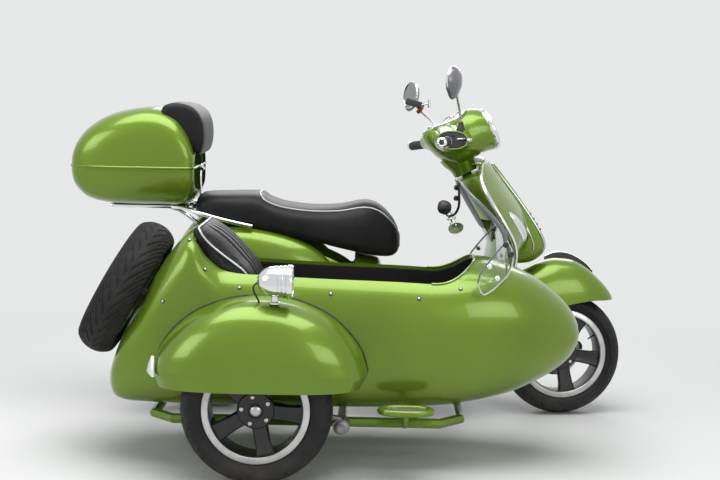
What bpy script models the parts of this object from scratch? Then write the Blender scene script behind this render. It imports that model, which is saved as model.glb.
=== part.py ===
"""Step-through scooter with a sidecar on its right side, as an assembly of separate pieces.

Metres, +X forward, +Y to the rider's left, +Z up, wheels on z = 0. The pieces are drawn in the
vehicle's own frame, whose origin is the ground under the rear axle, and all hang from one empty
that carries that point, so that the outfit's box is centred on the world's origin.
"""

import math

import bmesh
import bpy
from mathutils import Matrix, Vector

# Gaps: between pieces that seat on each other, and between pieces that move
SEAT = 0.0003
RUNNING = 0.0004

# Wheels: axle places, tyre sizes and the rim that they share
WHEELBASE = 1.370
FRONT_TYRE_RADIUS = 0.2364
FRONT_TYRE_WIDTH = 0.120
REAR_TYRE_RADIUS = 0.2434
REAR_TYRE_WIDTH = 0.130
SIDECAR_WHEEL_X = 0.269
SIDECAR_WHEEL_Y = -1.0286
RIM_LIP_RADIUS = 0.172
RIM_BARREL_RADIUS = 0.156
RIM_WALL = 0.008
RIM_HALF_WIDTH = 0.045
LIP_THICKNESS = 0.005
SPOKE_COUNT = 5
SPOKE_HALF_WIDTH = 0.031
SPOKE_DEPTH = 0.020
HUB_RADIUS = 0.056
HUB_NECK_RADIUS = 0.030
AXLE_RADIUS = 0.010
WHEEL_STEPS = 24

# Steering: the axis leans back by the rake and passes through one point
RAKE = math.radians(27.0)
STEER_POINT = Vector((1.205, 0.0, 0.500))
STEER_AXIS = Vector((-math.sin(RAKE), 0.0, math.cos(RAKE)))
STEER_TURN = math.radians(8.9)
COLUMN_RADIUS = 0.020
COLUMN_TOP_Z = 1.025
COLUMN_LOW_Z = 0.560
LINK_Y = 0.096
LINK_PIVOT = Vector((1.462, LINK_Y, 0.246))

# Sidecar: the hull's middle plane, wall and cockpit
HULL_Y = -0.655
HULL_WALL = 0.010
COCKPIT_REAR_X = 0.050
BENCH_Z = 0.300
COCKPIT_FRONT_X = 0.973
COCKPIT_HALF_WIDTH = 0.205
COCKPIT_NOSE = 0.150
FENDER_Y = -0.915
FENDER_X = 0.272
FENDER_WALL = 0.006
CREASE_Z = 0.350
SKIRT_Z = 0.308

# The outfit's box, which places the vehicle's origin in the world
CASE_REAR_X = -0.522
FENDER_REACH = 0.2075
LEFT_REACH_Y = 0.350
ORIGIN_X = -(CASE_REAR_X + WHEELBASE + FRONT_TYRE_RADIUS) / 2
ORIGIN_Y = -(FENDER_Y - FENDER_REACH + LEFT_REACH_Y) / 2

GREEN = (0.180, 0.320, 0.025)
BLACK = (0.012, 0.012, 0.013)


def clear_scene():
    """Removes whatever the start-up file holds."""
    for obj in list(bpy.data.objects):
        bpy.data.objects.remove(obj, do_unlink=True)


def material(name, colour, roughness, metallic=0.0):
    """A plain finish: colour, roughness and metal."""
    made = bpy.data.materials.new(name)
    made.use_nodes = True
    shader = made.node_tree.nodes["Principled BSDF"]
    shader.inputs["Base Color"].default_value = (*colour, 1.0)
    shader.inputs["Roughness"].default_value = roughness
    shader.inputs["Metallic"].default_value = metallic
    return made


def empty(name, location, parent=None):
    """A joint's or the vehicle's reference point."""
    made = bpy.data.objects.new(name, None)
    made.location = location
    made.parent = parent
    bpy.context.collection.objects.link(made)
    return made


def add(name, bm, finish, parent, location=(0.0, 0.0, 0.0)):
    """Makes an object from a closed bmesh, with its faces outwards."""
    bmesh.ops.remove_doubles(bm, verts=bm.verts, dist=1e-6)
    bmesh.ops.recalc_face_normals(bm, faces=bm.faces)
    mesh = bpy.data.meshes.new(name)
    bm.to_mesh(mesh)
    bm.free()
    mesh.materials.append(finish)
    mesh.shade_smooth()
    mesh.set_sharp_from_angle(angle=math.radians(35))
    made = bpy.data.objects.new(name, mesh)
    made.location = location
    made.parent = parent
    bpy.context.collection.objects.link(made)
    return made


def combine(piece, tools, operation):
    """Joins tools to a piece, or cuts them from it, and hides them."""
    for other in tools:
        other.hide_render = True
        other.display_type = "WIRE"
        step = piece.modifiers.new(other.name, "BOOLEAN")
        step.operation = operation
        step.object = other
    return piece


def skin(rings):
    """A closed skin over rings of as many points each, with flat ends."""
    bm = bmesh.new()
    loops = [[bm.verts.new(point) for point in ring] for ring in rings]
    for near, far in zip(loops, loops[1:]):
        for i, vert in enumerate(near):
            following = (i + 1) % len(near)
            bm.faces.new((vert, near[following], far[following], far[i]))
    bm.faces.new(list(reversed(loops[0])))
    bm.faces.new(loops[-1])
    bmesh.ops.triangulate(bm, faces=bm.faces)
    return bm


def power(value, exponent):
    """A signed power, for outlines between an oval and a box."""
    return math.copysign(abs(value) ** exponent, value)


def oval(half_width, half_height, squareness, count):
    """Points around an outline that goes from an ellipse, at 2, towards a box."""
    turns = [math.tau * (i + 0.5) / count for i in range(count)]
    return [
        (
            half_width * power(math.cos(turn), 2 / squareness),
            half_height * power(math.sin(turn), 2 / squareness),
        )
        for turn in turns
    ]


def cross_section(x, middle_y, half_width, low, high, squareness, count=16):
    """A ring of the body's outline in the plane across the vehicle at x."""
    middle_z = (low + high) / 2
    return [
        Vector((x, middle_y + y, middle_z + z))
        for y, z in oval(half_width, (high - low) / 2, squareness, count)
    ]


def turned(profile, steps=WHEEL_STEPS):
    """Spins (radius, y) points around the Y axis; a closed outline that stays off the axis."""
    bm = bmesh.new()
    verts = [bm.verts.new((radius, y, 0.0)) for radius, y in profile]
    edges = [bm.edges.new((verts[i - 1], verts[i])) for i in range(len(verts))]
    bmesh.ops.spin(
        bm, geom=verts + edges, cent=(0, 0, 0), axis=(0, 1, 0), dvec=(0, 0, 0),
        angle=math.tau, steps=steps, use_merge=True, use_duplicate=False,
    )
    return bm


def tube(points, radius, sides=10):
    """A round bar along points, mitred at its corners, with flat ends."""
    points = [Vector(point) for point in points]
    rings = []
    side = None
    for i, point in enumerate(points):
        before = (point - points[i - 1]).normalized() if i else None
        after = (points[i + 1] - point).normalized() if i + 1 < len(points) else None
        along = ((before or after) + (after or before)).normalized()
        if side is None:
            side = along.orthogonal().normalized()
        side = (side - along * side.dot(along)).normalized()
        up = along.cross(side)
        turns = [math.tau * k / sides for k in range(sides)]
        rings.append([point + (side * math.cos(a) + up * math.sin(a)) * radius for a in turns])
    return skin(rings)


def block(low, high, bevel=0.0):
    """A box between two corners, with its edges rounded off."""
    bm = bmesh.new()
    bmesh.ops.create_cube(bm, size=1.0)
    size = Vector(high) - Vector(low)
    bmesh.ops.scale(bm, vec=size, verts=bm.verts)
    bmesh.ops.translate(bm, vec=(Vector(high) + Vector(low)) / 2, verts=bm.verts)
    if bevel:
        bmesh.ops.bevel(
            bm, geom=bm.edges[:], offset=bevel, segments=2, profile=0.5, affect="EDGES", material=-1
        )
    return bm


def side_plate(outline, low_y, high_y):
    """A side view's (x, z) outline, solid from low_y to high_y."""
    rings = [[Vector((x, y, z)) for x, z in outline] for y in (low_y, high_y)]
    bm = bmesh.new()
    loops = [[bm.verts.new(point) for point in ring] for ring in rings]
    bm.faces.new(loops[0])
    bm.faces.new(list(reversed(loops[1])))
    count = len(outline)
    for i in range(count):
        j = (i + 1) % count
        bm.faces.new((loops[0][i], loops[0][j], loops[1][j], loops[1][i]))
    return bm


def on_axis(z, side=0.0):
    """The point of the steering axis at a height."""
    reach = (z - STEER_POINT.z) / STEER_AXIS.z
    return STEER_POINT + STEER_AXIS * reach + Vector((0.0, side, 0.0))


# Wheels


def tyre_profile(radius, width):
    """(radius, y) points of a tyre's section, from one bead over the crown to the other."""
    half = (
        (RIM_BARREL_RADIUS + SEAT, RIM_HALF_WIDTH - SEAT),
        (RIM_LIP_RADIUS + 0.004, RIM_HALF_WIDTH - SEAT),
        (radius - 0.040, width / 2),
        (radius - 0.010, width / 2 - 0.015),
        (radius, width / 2 - 0.048),
    )
    return list(half) + [(r, -y) for r, y in reversed(half)]


def rim_profile():
    """(radius, y) points of the rim's barrel with a lip at each edge."""
    lip_y = RIM_HALF_WIDTH + LIP_THICKNESS
    inner = RIM_BARREL_RADIUS - RIM_WALL
    half = (
        (RIM_BARREL_RADIUS, RIM_HALF_WIDTH),
        (RIM_LIP_RADIUS, RIM_HALF_WIDTH),
        (RIM_LIP_RADIUS, lip_y),
        (inner, lip_y),
    )
    return list(half) + [(r, -y) for r, y in reversed(half)]


def spoke_star(first_turn):
    """The outline of five broad spokes around the hub, in (x, z)."""
    reach = RIM_BARREL_RADIUS - RIM_WALL / 2
    outer = math.asin(SPOKE_HALF_WIDTH / reach)
    inner = math.asin(SPOKE_HALF_WIDTH * 0.86 / HUB_RADIUS)
    points = []
    for k in range(SPOKE_COUNT):
        middle = first_turn + math.tau * k / SPOKE_COUNT
        corners = ((HUB_RADIUS, -inner), (reach, -outer), (reach, outer), (HUB_RADIUS, inner))
        for radius, turn in corners:
            angle = middle + turn
            points.append((radius * math.cos(angle), radius * math.sin(angle)))
    return points


def wheel(name, carrier, radius, width, face, first_turn, finishes, hub_reach):
    """A tyre on a five-spoke rim whose spokes lie on the side that face points to (1 or -1)."""
    rubber, satin_black = finishes
    add(name + "_tyre", turned(tyre_profile(radius, width)), rubber, carrier)
    rim = add(name + "_rim", turned(rim_profile()), satin_black, carrier)
    front = face * (RIM_HALF_WIDTH - 0.004)
    back = front - face * SPOKE_DEPTH
    star = add(name + "_star", side_plate(spoke_star(first_turn), min(front, back), max(front, back)), satin_black, carrier)
    neck_ends = sorted((front - face * 0.002, -face * hub_reach))
    neck = add(
        name + "_neck",
        tube([(0, neck_ends[0], 0), (0, neck_ends[1], 0)], HUB_NECK_RADIUS, 12), satin_black, carrier,
    )
    bore = add(
        name + "_bore",
        tube([(0, -0.2, 0), (0, 0.2, 0)], AXLE_RADIUS + RUNNING, 12), satin_black, carrier,
    )
    combine(rim, (star, neck), "UNION")
    if name == "front":
        disc = tube([(0, DISC_Y, 0), (0, DISC_Y + DISC_THICKNESS, 0)], DISC_RADIUS, WHEEL_STEPS)
        combine(rim, (add("brake_disc", disc, satin_black, carrier),), "UNION")
    combine(rim, (bore,), "DIFFERENCE")


# Sidecar body

HULL_SECTIONS = (
    # x, half width, low z, waist z, high z, squareness below the waist and above it
    (-0.243, 0.150, 0.230, 0.280, 0.330, 2.4, 2.4),
    (-0.228, 0.190, 0.205, 0.290, 0.372, 2.8, 2.8),
    (-0.190, 0.220, 0.192, 0.320, 0.463, 3.0, 3.0),
    (-0.138, 0.238, 0.190, 0.350, 0.553, 3.2, 3.2),
    (-0.086, 0.250, 0.190, 0.380, 0.648, 3.4, 3.6),
    (-0.041, 0.257, 0.190, 0.400, 0.712, 3.6, 4.2),
    (0.005, 0.262, 0.190, 0.420, 0.766, 3.8, 5.0),
    (0.035, 0.264, 0.190, 0.430, 0.768, 3.8, 6.0),
    (0.055, 0.265, 0.190, 0.435, 0.760, 3.8, 6.0),
    (0.095, 0.266, 0.190, 0.440, 0.710, 3.8, 5.0),
    (0.136, 0.269, 0.190, 0.440, 0.686, 3.8, 4.0),
    (0.190, 0.270, 0.190, 0.440, 0.688, 3.8, 3.2),
    (0.450, 0.272, 0.190, 0.440, 0.695, 3.8, 2.6),
    (0.820, 0.266, 0.198, 0.440, 0.686, 3.6, 2.6),
    (0.965, 0.250, 0.212, 0.440, 0.694, 3.2, 2.6),
    (1.030, 0.238, 0.222, 0.445, 0.690, 2.9, 2.5),
    (1.107, 0.215, 0.240, 0.448, 0.663, 2.6, 2.5),
    (1.180, 0.182, 0.270, 0.448, 0.630, 2.4, 2.4),
    (1.250, 0.140, 0.307, 0.445, 0.582, 2.2, 2.2),
    (1.300, 0.098, 0.346, 0.440, 0.532, 2.1, 2.1),
    (1.330, 0.055, 0.390, 0.436, 0.482, 2.0, 2.0),
    (1.339, 0.018, 0.424, 0.436, 0.448, 2.0, 2.0),
)


def hull_ring(x, half, low, waist, high, square_low, square_high, inset):
    """The hull's outline across x: a boxy floor below the waist and a rounder deck above it."""
    ring = []
    for i in range(20):
        turn = math.tau * (i + 0.5) / 20
        up = math.sin(turn)
        square = square_high if up > 0 else square_low
        reach = (high - waist if up > 0 else waist - low) - inset
        across = (half - inset) * power(math.cos(turn), 2 / square)
        ring.append(Vector((x, HULL_Y + across, waist + reach * power(up, 2 / square))))
    return ring


def hull_rings(inset, first_x=-10.0, last_x=10.0):
    """The hull's sections, each drawn in by the same inset."""
    return [hull_ring(*row, inset) for row in HULL_SECTIONS if first_x <= row[0] <= last_x]


def grown_hull(name, parent, finish):
    """The hull with the seat's gap all round, which cuts what seats on it."""
    return add(name, skin(hull_rings(-SEAT)), finish, parent)


def sidecar_hull(parent, finish):
    """The hollow body: a shell with the cockpit cut through its top, under which the legs go."""
    hull = add("sidecar_hull", skin(hull_rings(0.0)), finish, parent)
    hollow = add("hull_hollow", skin(hull_rings(HULL_WALL, COCKPIT_REAR_X, 1.26)), finish, parent)
    mouth_z = (0.50, 0.90)
    turns = [math.pi * k / 10 - math.pi / 2 for k in range(11)]
    nose = [
        (
            COCKPIT_FRONT_X - COCKPIT_NOSE + COCKPIT_NOSE * power(math.cos(turn), 0.86),
            HULL_Y + COCKPIT_HALF_WIDTH * power(math.sin(turn), 0.8),
        )
        for turn in turns
    ]
    outline = [
        (COCKPIT_REAR_X, HULL_Y + COCKPIT_HALF_WIDTH),
        (COCKPIT_REAR_X, HULL_Y - COCKPIT_HALF_WIDTH),
        *nose,
    ]
    mouth = add("hull_mouth", skin([[Vector((x, y, z)) for x, y in outline] for z in mouth_z]), finish, parent)
    combine(hull, (hollow, mouth), "DIFFERENCE")
    ends = (cross_section(x, HULL_Y, 0.262, 0.197, 0.640, 3.8, 16) for x in (0.045, 0.640))
    bench = skin([[Vector((p.x, p.y, min(p.z, BENCH_Z))) for p in ring] for ring in ends])
    return combine(hull, (add("hull_bench", bench, finish, parent),), "UNION")


FENDER_LEVELS = (
    # height, half length, reach outwards from the hull, squareness
    (SKIRT_Z, 0.330, 0.203, 3.4),
    (CREASE_Z, 0.347, FENDER_REACH, 3.2),
    (0.420, 0.325, 0.203, 3.0),
    (0.477, 0.282, 0.190, 2.9),
    (0.531, 0.218, 0.165, 2.7),
    (0.566, 0.140, 0.130, 2.5),
    (0.584, 0.060, 0.090, 2.2),
)


def fender_rings(inset, low_z=SKIRT_Z, inner_y=FENDER_Y):
    """Level outlines of the sidecar's fender, from its skirt up to its crown."""
    rings = []
    for z, half_length, reach, square in FENDER_LEVELS:
        height = low_z if z == SKIRT_Z else z - inset
        turns = [math.pi * (k + 0.5) / 12 for k in range(12)]
        arc = [
            Vector(
                (
                    FENDER_X + (half_length - inset) * power(math.cos(turn), 2 / square),
                    FENDER_Y - (reach - inset) * power(math.sin(turn), 2 / square),
                    height,
                )
            )
            for turn in turns
        ]
        first = Vector((arc[0].x, inner_y, height))
        last = Vector((arc[-1].x, inner_y, height))
        rings.append([first, *arc, last])
    return rings


def sidecar_fender(parent, finish):
    """The domed shell over the sidecar's wheel, seated on the hull's side."""
    fender = add("sidecar_fender", skin(fender_rings(0.0, inner_y=FENDER_Y + 0.05)), finish, parent)
    hollow = add(
        "fender_hollow", skin(fender_rings(FENDER_WALL, SKIRT_Z - 0.02, FENDER_Y + 0.06)), finish, parent
    )
    combine(fender, (hollow, grown_hull("fender_hull_cut", parent, finish)), "DIFFERENCE")


BACK_LEVELS = (
    # z, face x at its edges, face x in its middle, rear x, share of its full width
    (0.402, 0.262, 0.292, 0.160, 1.00),
    (0.440, 0.276, 0.310, 0.120, 1.00),
    (0.520, 0.258, 0.290, 0.080, 1.00),
    (0.600, 0.232, 0.256, 0.060, 1.00),
    (0.664, 0.196, 0.225, COCKPIT_REAR_X + SEAT, 1.00),
    (0.711, 0.130, 0.187, COCKPIT_REAR_X + SEAT, 1.00),
    (0.741, 0.092, 0.156, COCKPIT_REAR_X + SEAT, 0.99),
    (0.7686, 0.068, 0.118, COCKPIT_REAR_X + SEAT, 0.97),
    (0.7686, 0.068, 0.118, 0.022, 0.97),
    (0.784, 0.058, 0.084, 0.025, 0.93),
    (0.793, 0.050, 0.062, 0.036, 0.89),
)


def sidecar_seat(parent, finish):
    """A back cushion that is bowed across and hooks over the tail, and a seat cushion on the floor."""
    half = COCKPIT_HALF_WIDTH - 0.006
    rings = []
    for z, edge_x, middle_x, rear_x, share in BACK_LEVELS:
        ring = [Vector((rear_x, HULL_Y - half * share, z))]
        for k in range(13):
            across = k / 6 - 1
            bow = (1 - abs(across) ** 2.4) ** 0.9
            ring.append(Vector((edge_x + (middle_x - edge_x) * bow, HULL_Y + half * share * across, z)))
        rings.append([*ring, Vector((rear_x, HULL_Y + half * share, z))])
    add("sidecar_seat_back", skin(rings), finish, parent)
    base = block((0.190, HULL_Y - half, BENCH_Z + SEAT), (0.640, HULL_Y + half, 0.402 - SEAT))
    seat = add("sidecar_seat_cushion", base, finish, parent)
    soften(seat, 0.018)


def soften(piece, width):
    """Rounds a cushion's edges."""
    step = piece.modifiers.new("rounding", "BEVEL")
    step.width = width
    step.segments = 2
    step.limit_method = "ANGLE"
    step.angle_limit = math.radians(40)


def windscreen(parent, finish):
    """A bent clear sheet: across the deck in front of the cockpit, with a wing down each side."""
    thickness = 0.004
    columns = (
        # place across, foot x, foot z, head x, head z
        (-1.00, 0.990, 0.560, 0.960, 0.700),
        (-0.90, 1.020, 0.570, 0.935, 0.820),
        (-0.70, 1.052, 0.610, 0.925, 0.910),
        (-0.40, 1.074, 0.650, 0.930, 0.942),
        (0.00, 1.084, 0.660, 0.932, 0.948),
        (0.40, 1.074, 0.650, 0.930, 0.942),
        (0.70, 1.052, 0.610, 0.925, 0.910),
        (0.90, 1.020, 0.570, 0.935, 0.820),
        (1.00, 0.990, 0.560, 0.960, 0.700),
    )
    half_span = 0.216
    feet = []
    heads = []
    for across, foot_x, foot_z, head_x, head_z in columns:
        y = HULL_Y + across * half_span
        feet.append(Vector((foot_x, y, foot_z)))
        heads.append(Vector((head_x, y * 0.9 + HULL_Y * 0.1, head_z)))
    back = Vector((-thickness, 0.0, 0.0))
    rings = [
        [foot, head, head + back, foot + back] for foot, head in zip(feet, heads)
    ]
    screen = add("windscreen", skin(rings), finish, parent)
    combine(screen, (grown_hull("screen_hull_cut", parent, finish),), "DIFFERENCE")


def fender_lamp(parent, finish):
    """The bullet lamp on top of the sidecar's fender, lens forward, on a short foot."""
    profile = (
        # x, radius
        (0.262, 0.012), (0.270, 0.032), (0.290, 0.047), (0.318, 0.052),
        (0.352, 0.054), (0.376, 0.054), (0.384, 0.046),
    )
    rings = [
        [Vector((x, -1.020 + y, 0.650 + z)) for y, z in oval(radius, radius, 2.0, 16)]
        for x, radius in profile
    ]
    lamp = add("fender_lamp", skin(rings), finish, parent)
    foot = add("fender_lamp_foot", tube([(0.325, -1.020, 0.570), (0.325, -1.020, 0.620)], 0.013, 12), finish, parent)
    crown = add("fender_lamp_cut", skin(fender_rings(-SEAT)), finish, parent)
    combine(lamp, (foot,), "UNION")
    combine(lamp, (crown,), "DIFFERENCE")


FRAME_Z = 0.166
FRAME_TUBE = 0.017
FRAME_INNER_Y = -0.430
FRAME_OUTER_Y = -0.880
FRAME_REAR_X = -0.090
FRAME_FRONT_X = 0.930


def sidecar_chassis(parent, finish):
    """A closed loop of tube under the hull, with two cross tubes and four rubber-topped pads."""
    corner = 0.07
    rear, front = FRAME_REAR_X, FRAME_FRONT_X
    inner, outer = FRAME_INNER_Y, FRAME_OUTER_Y
    loop = (
        (rear + corner, outer, FRAME_Z), (front - corner, outer, FRAME_Z), (front, outer + corner, FRAME_Z),
        (front, inner - corner, FRAME_Z), (front - corner, inner, FRAME_Z), (rear + corner, inner, FRAME_Z),
        (rear, inner - corner, FRAME_Z), (rear, outer + corner, FRAME_Z),
    )
    middle = Vector(((rear + front) / 2, (inner + outer) / 2, FRAME_Z))
    rings = []
    sides = 8
    for i, point in enumerate(loop):
        here = Vector(point)
        before = (here - Vector(loop[i - 1])).normalized()
        after = (Vector(loop[(i + 1) % len(loop)]) - here).normalized()
        along = (before + after).normalized()
        out = along.cross(Vector((0, 0, 1)))
        stretch = 1 / out.dot(before.cross(Vector((0, 0, 1))))
        turns = [math.tau * k / sides for k in range(sides)]
        rings.append(
            [
                here + (out * math.cos(a) * stretch + Vector((0, 0, 1)) * math.sin(a)) * FRAME_TUBE
                for a in turns
            ]
        )
    bm = bmesh.new()
    loops = [[bm.verts.new(point) for point in ring] for ring in rings]
    for i, near in enumerate(loops):
        far = loops[(i + 1) % len(loops)]
        for k, vert in enumerate(near):
            following = (k + 1) % sides
            bm.faces.new((vert, near[following], far[following], far[k]))
    chassis = add("sidecar_chassis", bm, finish, parent)
    bars = []
    for k, x in enumerate((TORSION_X, 0.20)):
        cross = tube([(x, outer + 0.004, FRAME_Z), (x, inner - 0.004, FRAME_Z)], FRAME_TUBE, 8)
        bars.append(add(f"chassis_cross_{k}", cross, finish, parent))
    for k, (x, y) in enumerate(((0.02, -0.55), (0.02, -0.76), (0.78, -0.55), (0.78, -0.76))):
        rail = tube([(x, outer + 0.004, FRAME_Z), (x, inner - 0.004, FRAME_Z)], 0.011, 8)
        if k % 2 == 0:
            bars.append(add(f"chassis_rail_{k}", rail, finish, parent))
        pad = block((x - 0.025, y - 0.025, FRAME_Z), (x + 0.025, y + 0.025, 0.20))
        bars.append(add(f"chassis_pad_{k}", pad, finish, parent))
    combine(chassis, bars, "UNION")
    combine(chassis, (grown_hull("chassis_hull_cut", parent, finish),), "DIFFERENCE")
    return chassis


TORSION_X = 0.537
ARM_Y = -0.9455
ARM_RADIUS = 0.011


def sidecar_arm(parent, finish):
    """The trailing arm that carries the sidecar's wheel, with its pivot and stub axle in one."""
    arm = tube(
        [(TORSION_X, ARM_Y, FRAME_Z + 0.024), (SIDECAR_WHEEL_X, ARM_Y, REAR_TYRE_RADIUS)], ARM_RADIUS, 8
    )
    arm = add("sidecar_swing_arm", arm, finish, parent)
    pivot = add(
        "arm_pivot",
        tube([(TORSION_X, ARM_Y - 0.014, FRAME_Z), (TORSION_X, FRAME_OUTER_Y - FRAME_TUBE - SEAT, FRAME_Z)], 0.028, 16),
        finish, parent,
    )
    axle = add(
        "arm_axle",
        tube(
            [
                (SIDECAR_WHEEL_X, ARM_Y + 0.006, REAR_TYRE_RADIUS),
                (SIDECAR_WHEEL_X, SIDECAR_WHEEL_Y - 0.030, REAR_TYRE_RADIUS),
            ],
            AXLE_RADIUS, 16,
        ),
        finish, parent,
    )
    combine(arm, (pivot, axle), "UNION")
    combine(arm, (grown_hull("arm_hull_cut", parent, finish),), "DIFFERENCE")


def sidecar_step(parent, finish):
    """An oval tread on a bracket beside the cockpit, to climb in by."""
    ring = [
        Vector((0.745 + x, -0.985 + y, 0.238)) for x, y in oval(0.098, 0.052, 2.3, 20)
    ]
    rings = [ring, [point + Vector((0, 0, -0.012)) for point in ring]]
    tread = add("sidecar_step", skin(rings), finish, parent)
    bracket = add(
        "step_bracket",
        tube(
            [
                (0.745, FRAME_OUTER_Y - FRAME_TUBE - SEAT, FRAME_Z), (0.745, -0.955, FRAME_Z + 0.010),
                (0.745, -0.985, 0.230),
            ],
            0.011, 8,
        ),
        finish, parent,
    )
    combine(tread, (bracket,), "UNION")


def spare_wheel(parent, finishes):
    """The spare wheel that lies against the tail on its own carrier post."""
    rubber, satin_black, finish = finishes
    slope = math.atan2(0.257, 0.470)
    centre = Vector((-0.213, HULL_Y, 0.566))
    carrier = empty("spare_wheel_centre", centre, parent)
    lean = Matrix.Rotation(-(math.pi / 2 - slope), 4, "Y") @ Matrix.Rotation(math.pi / 2, 4, "X")
    carrier.rotation_euler = lean.to_euler()
    wheel("spare", carrier, REAR_TYRE_RADIUS, REAR_TYRE_WIDTH, 1, 0.3, (rubber, satin_black), 0.030)
    post = add("spare_carrier", tube([(0, -0.130, 0), (0, 0.050, 0)], AXLE_RADIUS, 16), finish, carrier)
    flange = add("spare_flange", tube([(0, -0.130, 0), (0, -0.030 - SEAT, 0)], 0.028, 16), finish, carrier)
    combine(post, (flange,), "UNION")
    combine(post, (grown_hull("carrier_hull_cut", parent, finish),), "DIFFERENCE")


def sidecar_mount(parent, finish):
    """The bar under the scooter's floor with the three arms that hold the sidecar's frame."""
    low_y = FRAME_INNER_Y + FRAME_TUBE + 0.020
    bar_y = -0.150
    bar_z = 0.200
    bar = add("sidecar_mount", tube([(0.300, bar_y, bar_z), (0.900, bar_y, bar_z)], 0.015, 8), finish, parent)
    arms = (
        ((0.860, bar_y, bar_z), (0.860, low_y, FRAME_Z), (0.860, low_y - 0.050, FRAME_Z)),
        ((0.330, bar_y, bar_z), (0.200, low_y, FRAME_Z), (0.200, low_y - 0.050, FRAME_Z)),
        ((0.545, -0.110, 0.430), (0.545, -0.200, 0.430), (0.545, low_y, FRAME_Z), (0.545, low_y - 0.050, FRAME_Z)),
    )
    joined = [add(f"mount_arm_{k}", tube(points, 0.012, 8), finish, parent) for k, points in enumerate(arms)]
    joined.append(add("mount_post", tube([(0.545, bar_y, bar_z), (0.545, -0.190, 0.430)], 0.012, 8), finish, parent))
    for k, x in enumerate((0.650, 0.860)):
        joined.append(add(f"mount_lug_{k}", block((x - 0.02, bar_y - 0.02, bar_z), (x + 0.02, bar_y + 0.02, 0.2247)), finish, parent))
    combine(bar, joined, "UNION")
    away = add("mount_frame_cut", block((0.0, FRAME_OUTER_Y, 0.10), (1.0, FRAME_INNER_Y + FRAME_TUBE + SEAT, 0.30)), finish, parent)
    body = add("mount_body_cut", skin(body_rings(-SEAT)), finish, parent)
    combine(bar, (away, body), "DIFFERENCE")


# Scooter body

BODY_SECTIONS = (
    # x, half width, low z, high z, squareness
    (-0.188, 0.050, 0.505, 0.565, 2.2),
    (-0.165, 0.095, 0.470, 0.600, 2.4),
    (-0.120, 0.132, 0.420, 0.655, 2.7),
    (-0.070, 0.150, 0.390, 0.735, 2.9),
    (-0.030, 0.156, 0.370, 0.757, 3.1),
    (0.068, 0.160, 0.350, 0.738, 3.3),
    (0.182, 0.160, 0.340, 0.717, 3.3),
    (0.352, 0.158, 0.330, 0.682, 3.3),
    (0.504, 0.145, 0.320, 0.640, 3.2),
    (0.590, 0.125, 0.310, 0.614, 3.0),
    (0.640, 0.105, 0.300, 0.604, 2.8),
    (0.668, 0.080, 0.300, 0.596, 2.5),
)


def body_rings(inset, first_x=-10.0, last_x=10.0):
    """The rear body's sections, each drawn in by the same inset."""
    return [
        cross_section(x, 0.0, half - inset, low + inset, high - inset, square)
        for x, half, low, high, square in BODY_SECTIONS
        if first_x <= x <= last_x
    ]


BOX_LOW_Z = 0.470
BOX_FRONT_X = 0.560
BOX_REAR_X = 0.280
BOX_HALF_WIDTH = 0.125
ARCH_RADIUS = 0.285
ARCH_HALF_WIDTH = 0.092


def rear_body(parent, finish):
    """The body under the seat: helmet box cut from above, wheel arch and engine bay from below."""
    body = add("rear_body", skin(body_rings(0.0)), finish, parent)
    box = add(
        "box_cut",
        block((BOX_REAR_X, -BOX_HALF_WIDTH, BOX_LOW_Z), (BOX_FRONT_X, BOX_HALF_WIDTH, 0.90)),
        finish, parent,
    )
    arch = add(
        "arch_cut",
        tube([(0, -ARCH_HALF_WIDTH, REAR_TYRE_RADIUS), (0, ARCH_HALF_WIDTH, REAR_TYRE_RADIUS)], ARCH_RADIUS, 32),
        finish, parent,
    )
    bay = add("bay_cut", block((-0.10, -0.30, 0.20), (0.520, 0.30, 0.440)), finish, parent)
    return combine(body, (box, arch, bay), "DIFFERENCE")


COWL_SECTIONS = (
    # x, half width, low z, high z, squareness
    (-0.130, 0.020, 0.470, 0.560, 2.0),
    (-0.100, 0.050, 0.420, 0.620, 2.2),
    (-0.030, 0.078, 0.372, 0.700, 2.5),
    (0.068, 0.090, 0.345, 0.728, 2.7),
    (0.182, 0.092, 0.340, 0.722, 2.7),
    (0.302, 0.086, 0.345, 0.700, 2.6),
    (0.395, 0.070, 0.362, 0.662, 2.4),
    (0.460, 0.048, 0.400, 0.610, 2.2),
    (0.490, 0.020, 0.450, 0.560, 2.0),
)
COWL_Y = 0.130


def cowls(parent, finish):
    """The bulging side covers, which seat on the rear body."""
    for name, side in (("cowl_left", 1), ("cowl_right", -1)):
        rings = [
            cross_section(x, side * COWL_Y, half, low, high, square, 16)
            for x, half, low, high, square in COWL_SECTIONS
        ]
        cowl = add(name, skin(rings), finish, parent)
        seat_cut = add(name + "_seat", skin(body_rings(-SEAT)), finish, parent)
        inner = add(
            name + "_inner",
            block((-0.20, min(side * 0.135, 0), 0.20), (0.56, max(side * 0.135, 0), 0.80)), finish, parent,
        )
        combine(cowl, (seat_cut, inner), "DIFFERENCE")


def floor_rings(rear_x, front_x, grow=0.0):
    """The floor's section, with a raised middle, at its rear and front."""
    outline = (
        (-0.205, 0.262), (-0.190, 0.285), (-0.085, 0.285), (-0.065, 0.325), (0.065, 0.325),
        (0.085, 0.285), (0.190, 0.285), (0.205, 0.262), (0.170, 0.225), (-0.170, 0.225),
    )
    return [[Vector((x, y, z + grow)) for y, z in outline] for x in (rear_x, front_x)]


def floor(parent, finish):
    """The step-through floor with its raised middle, from under the seat to the shield."""
    board = add("floor_board", skin(floor_rings(0.600, 1.090)), finish, parent)
    under_seat = add("floor_body_cut", skin(body_rings(-SEAT)), finish, parent)
    ahead = add("floor_shield_cut", skin(shield_rings(-0.30, 0.014 + SEAT + 0.30, 0.05)), finish, parent)
    combine(board, (under_seat, ahead), "DIFFERENCE")


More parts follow.
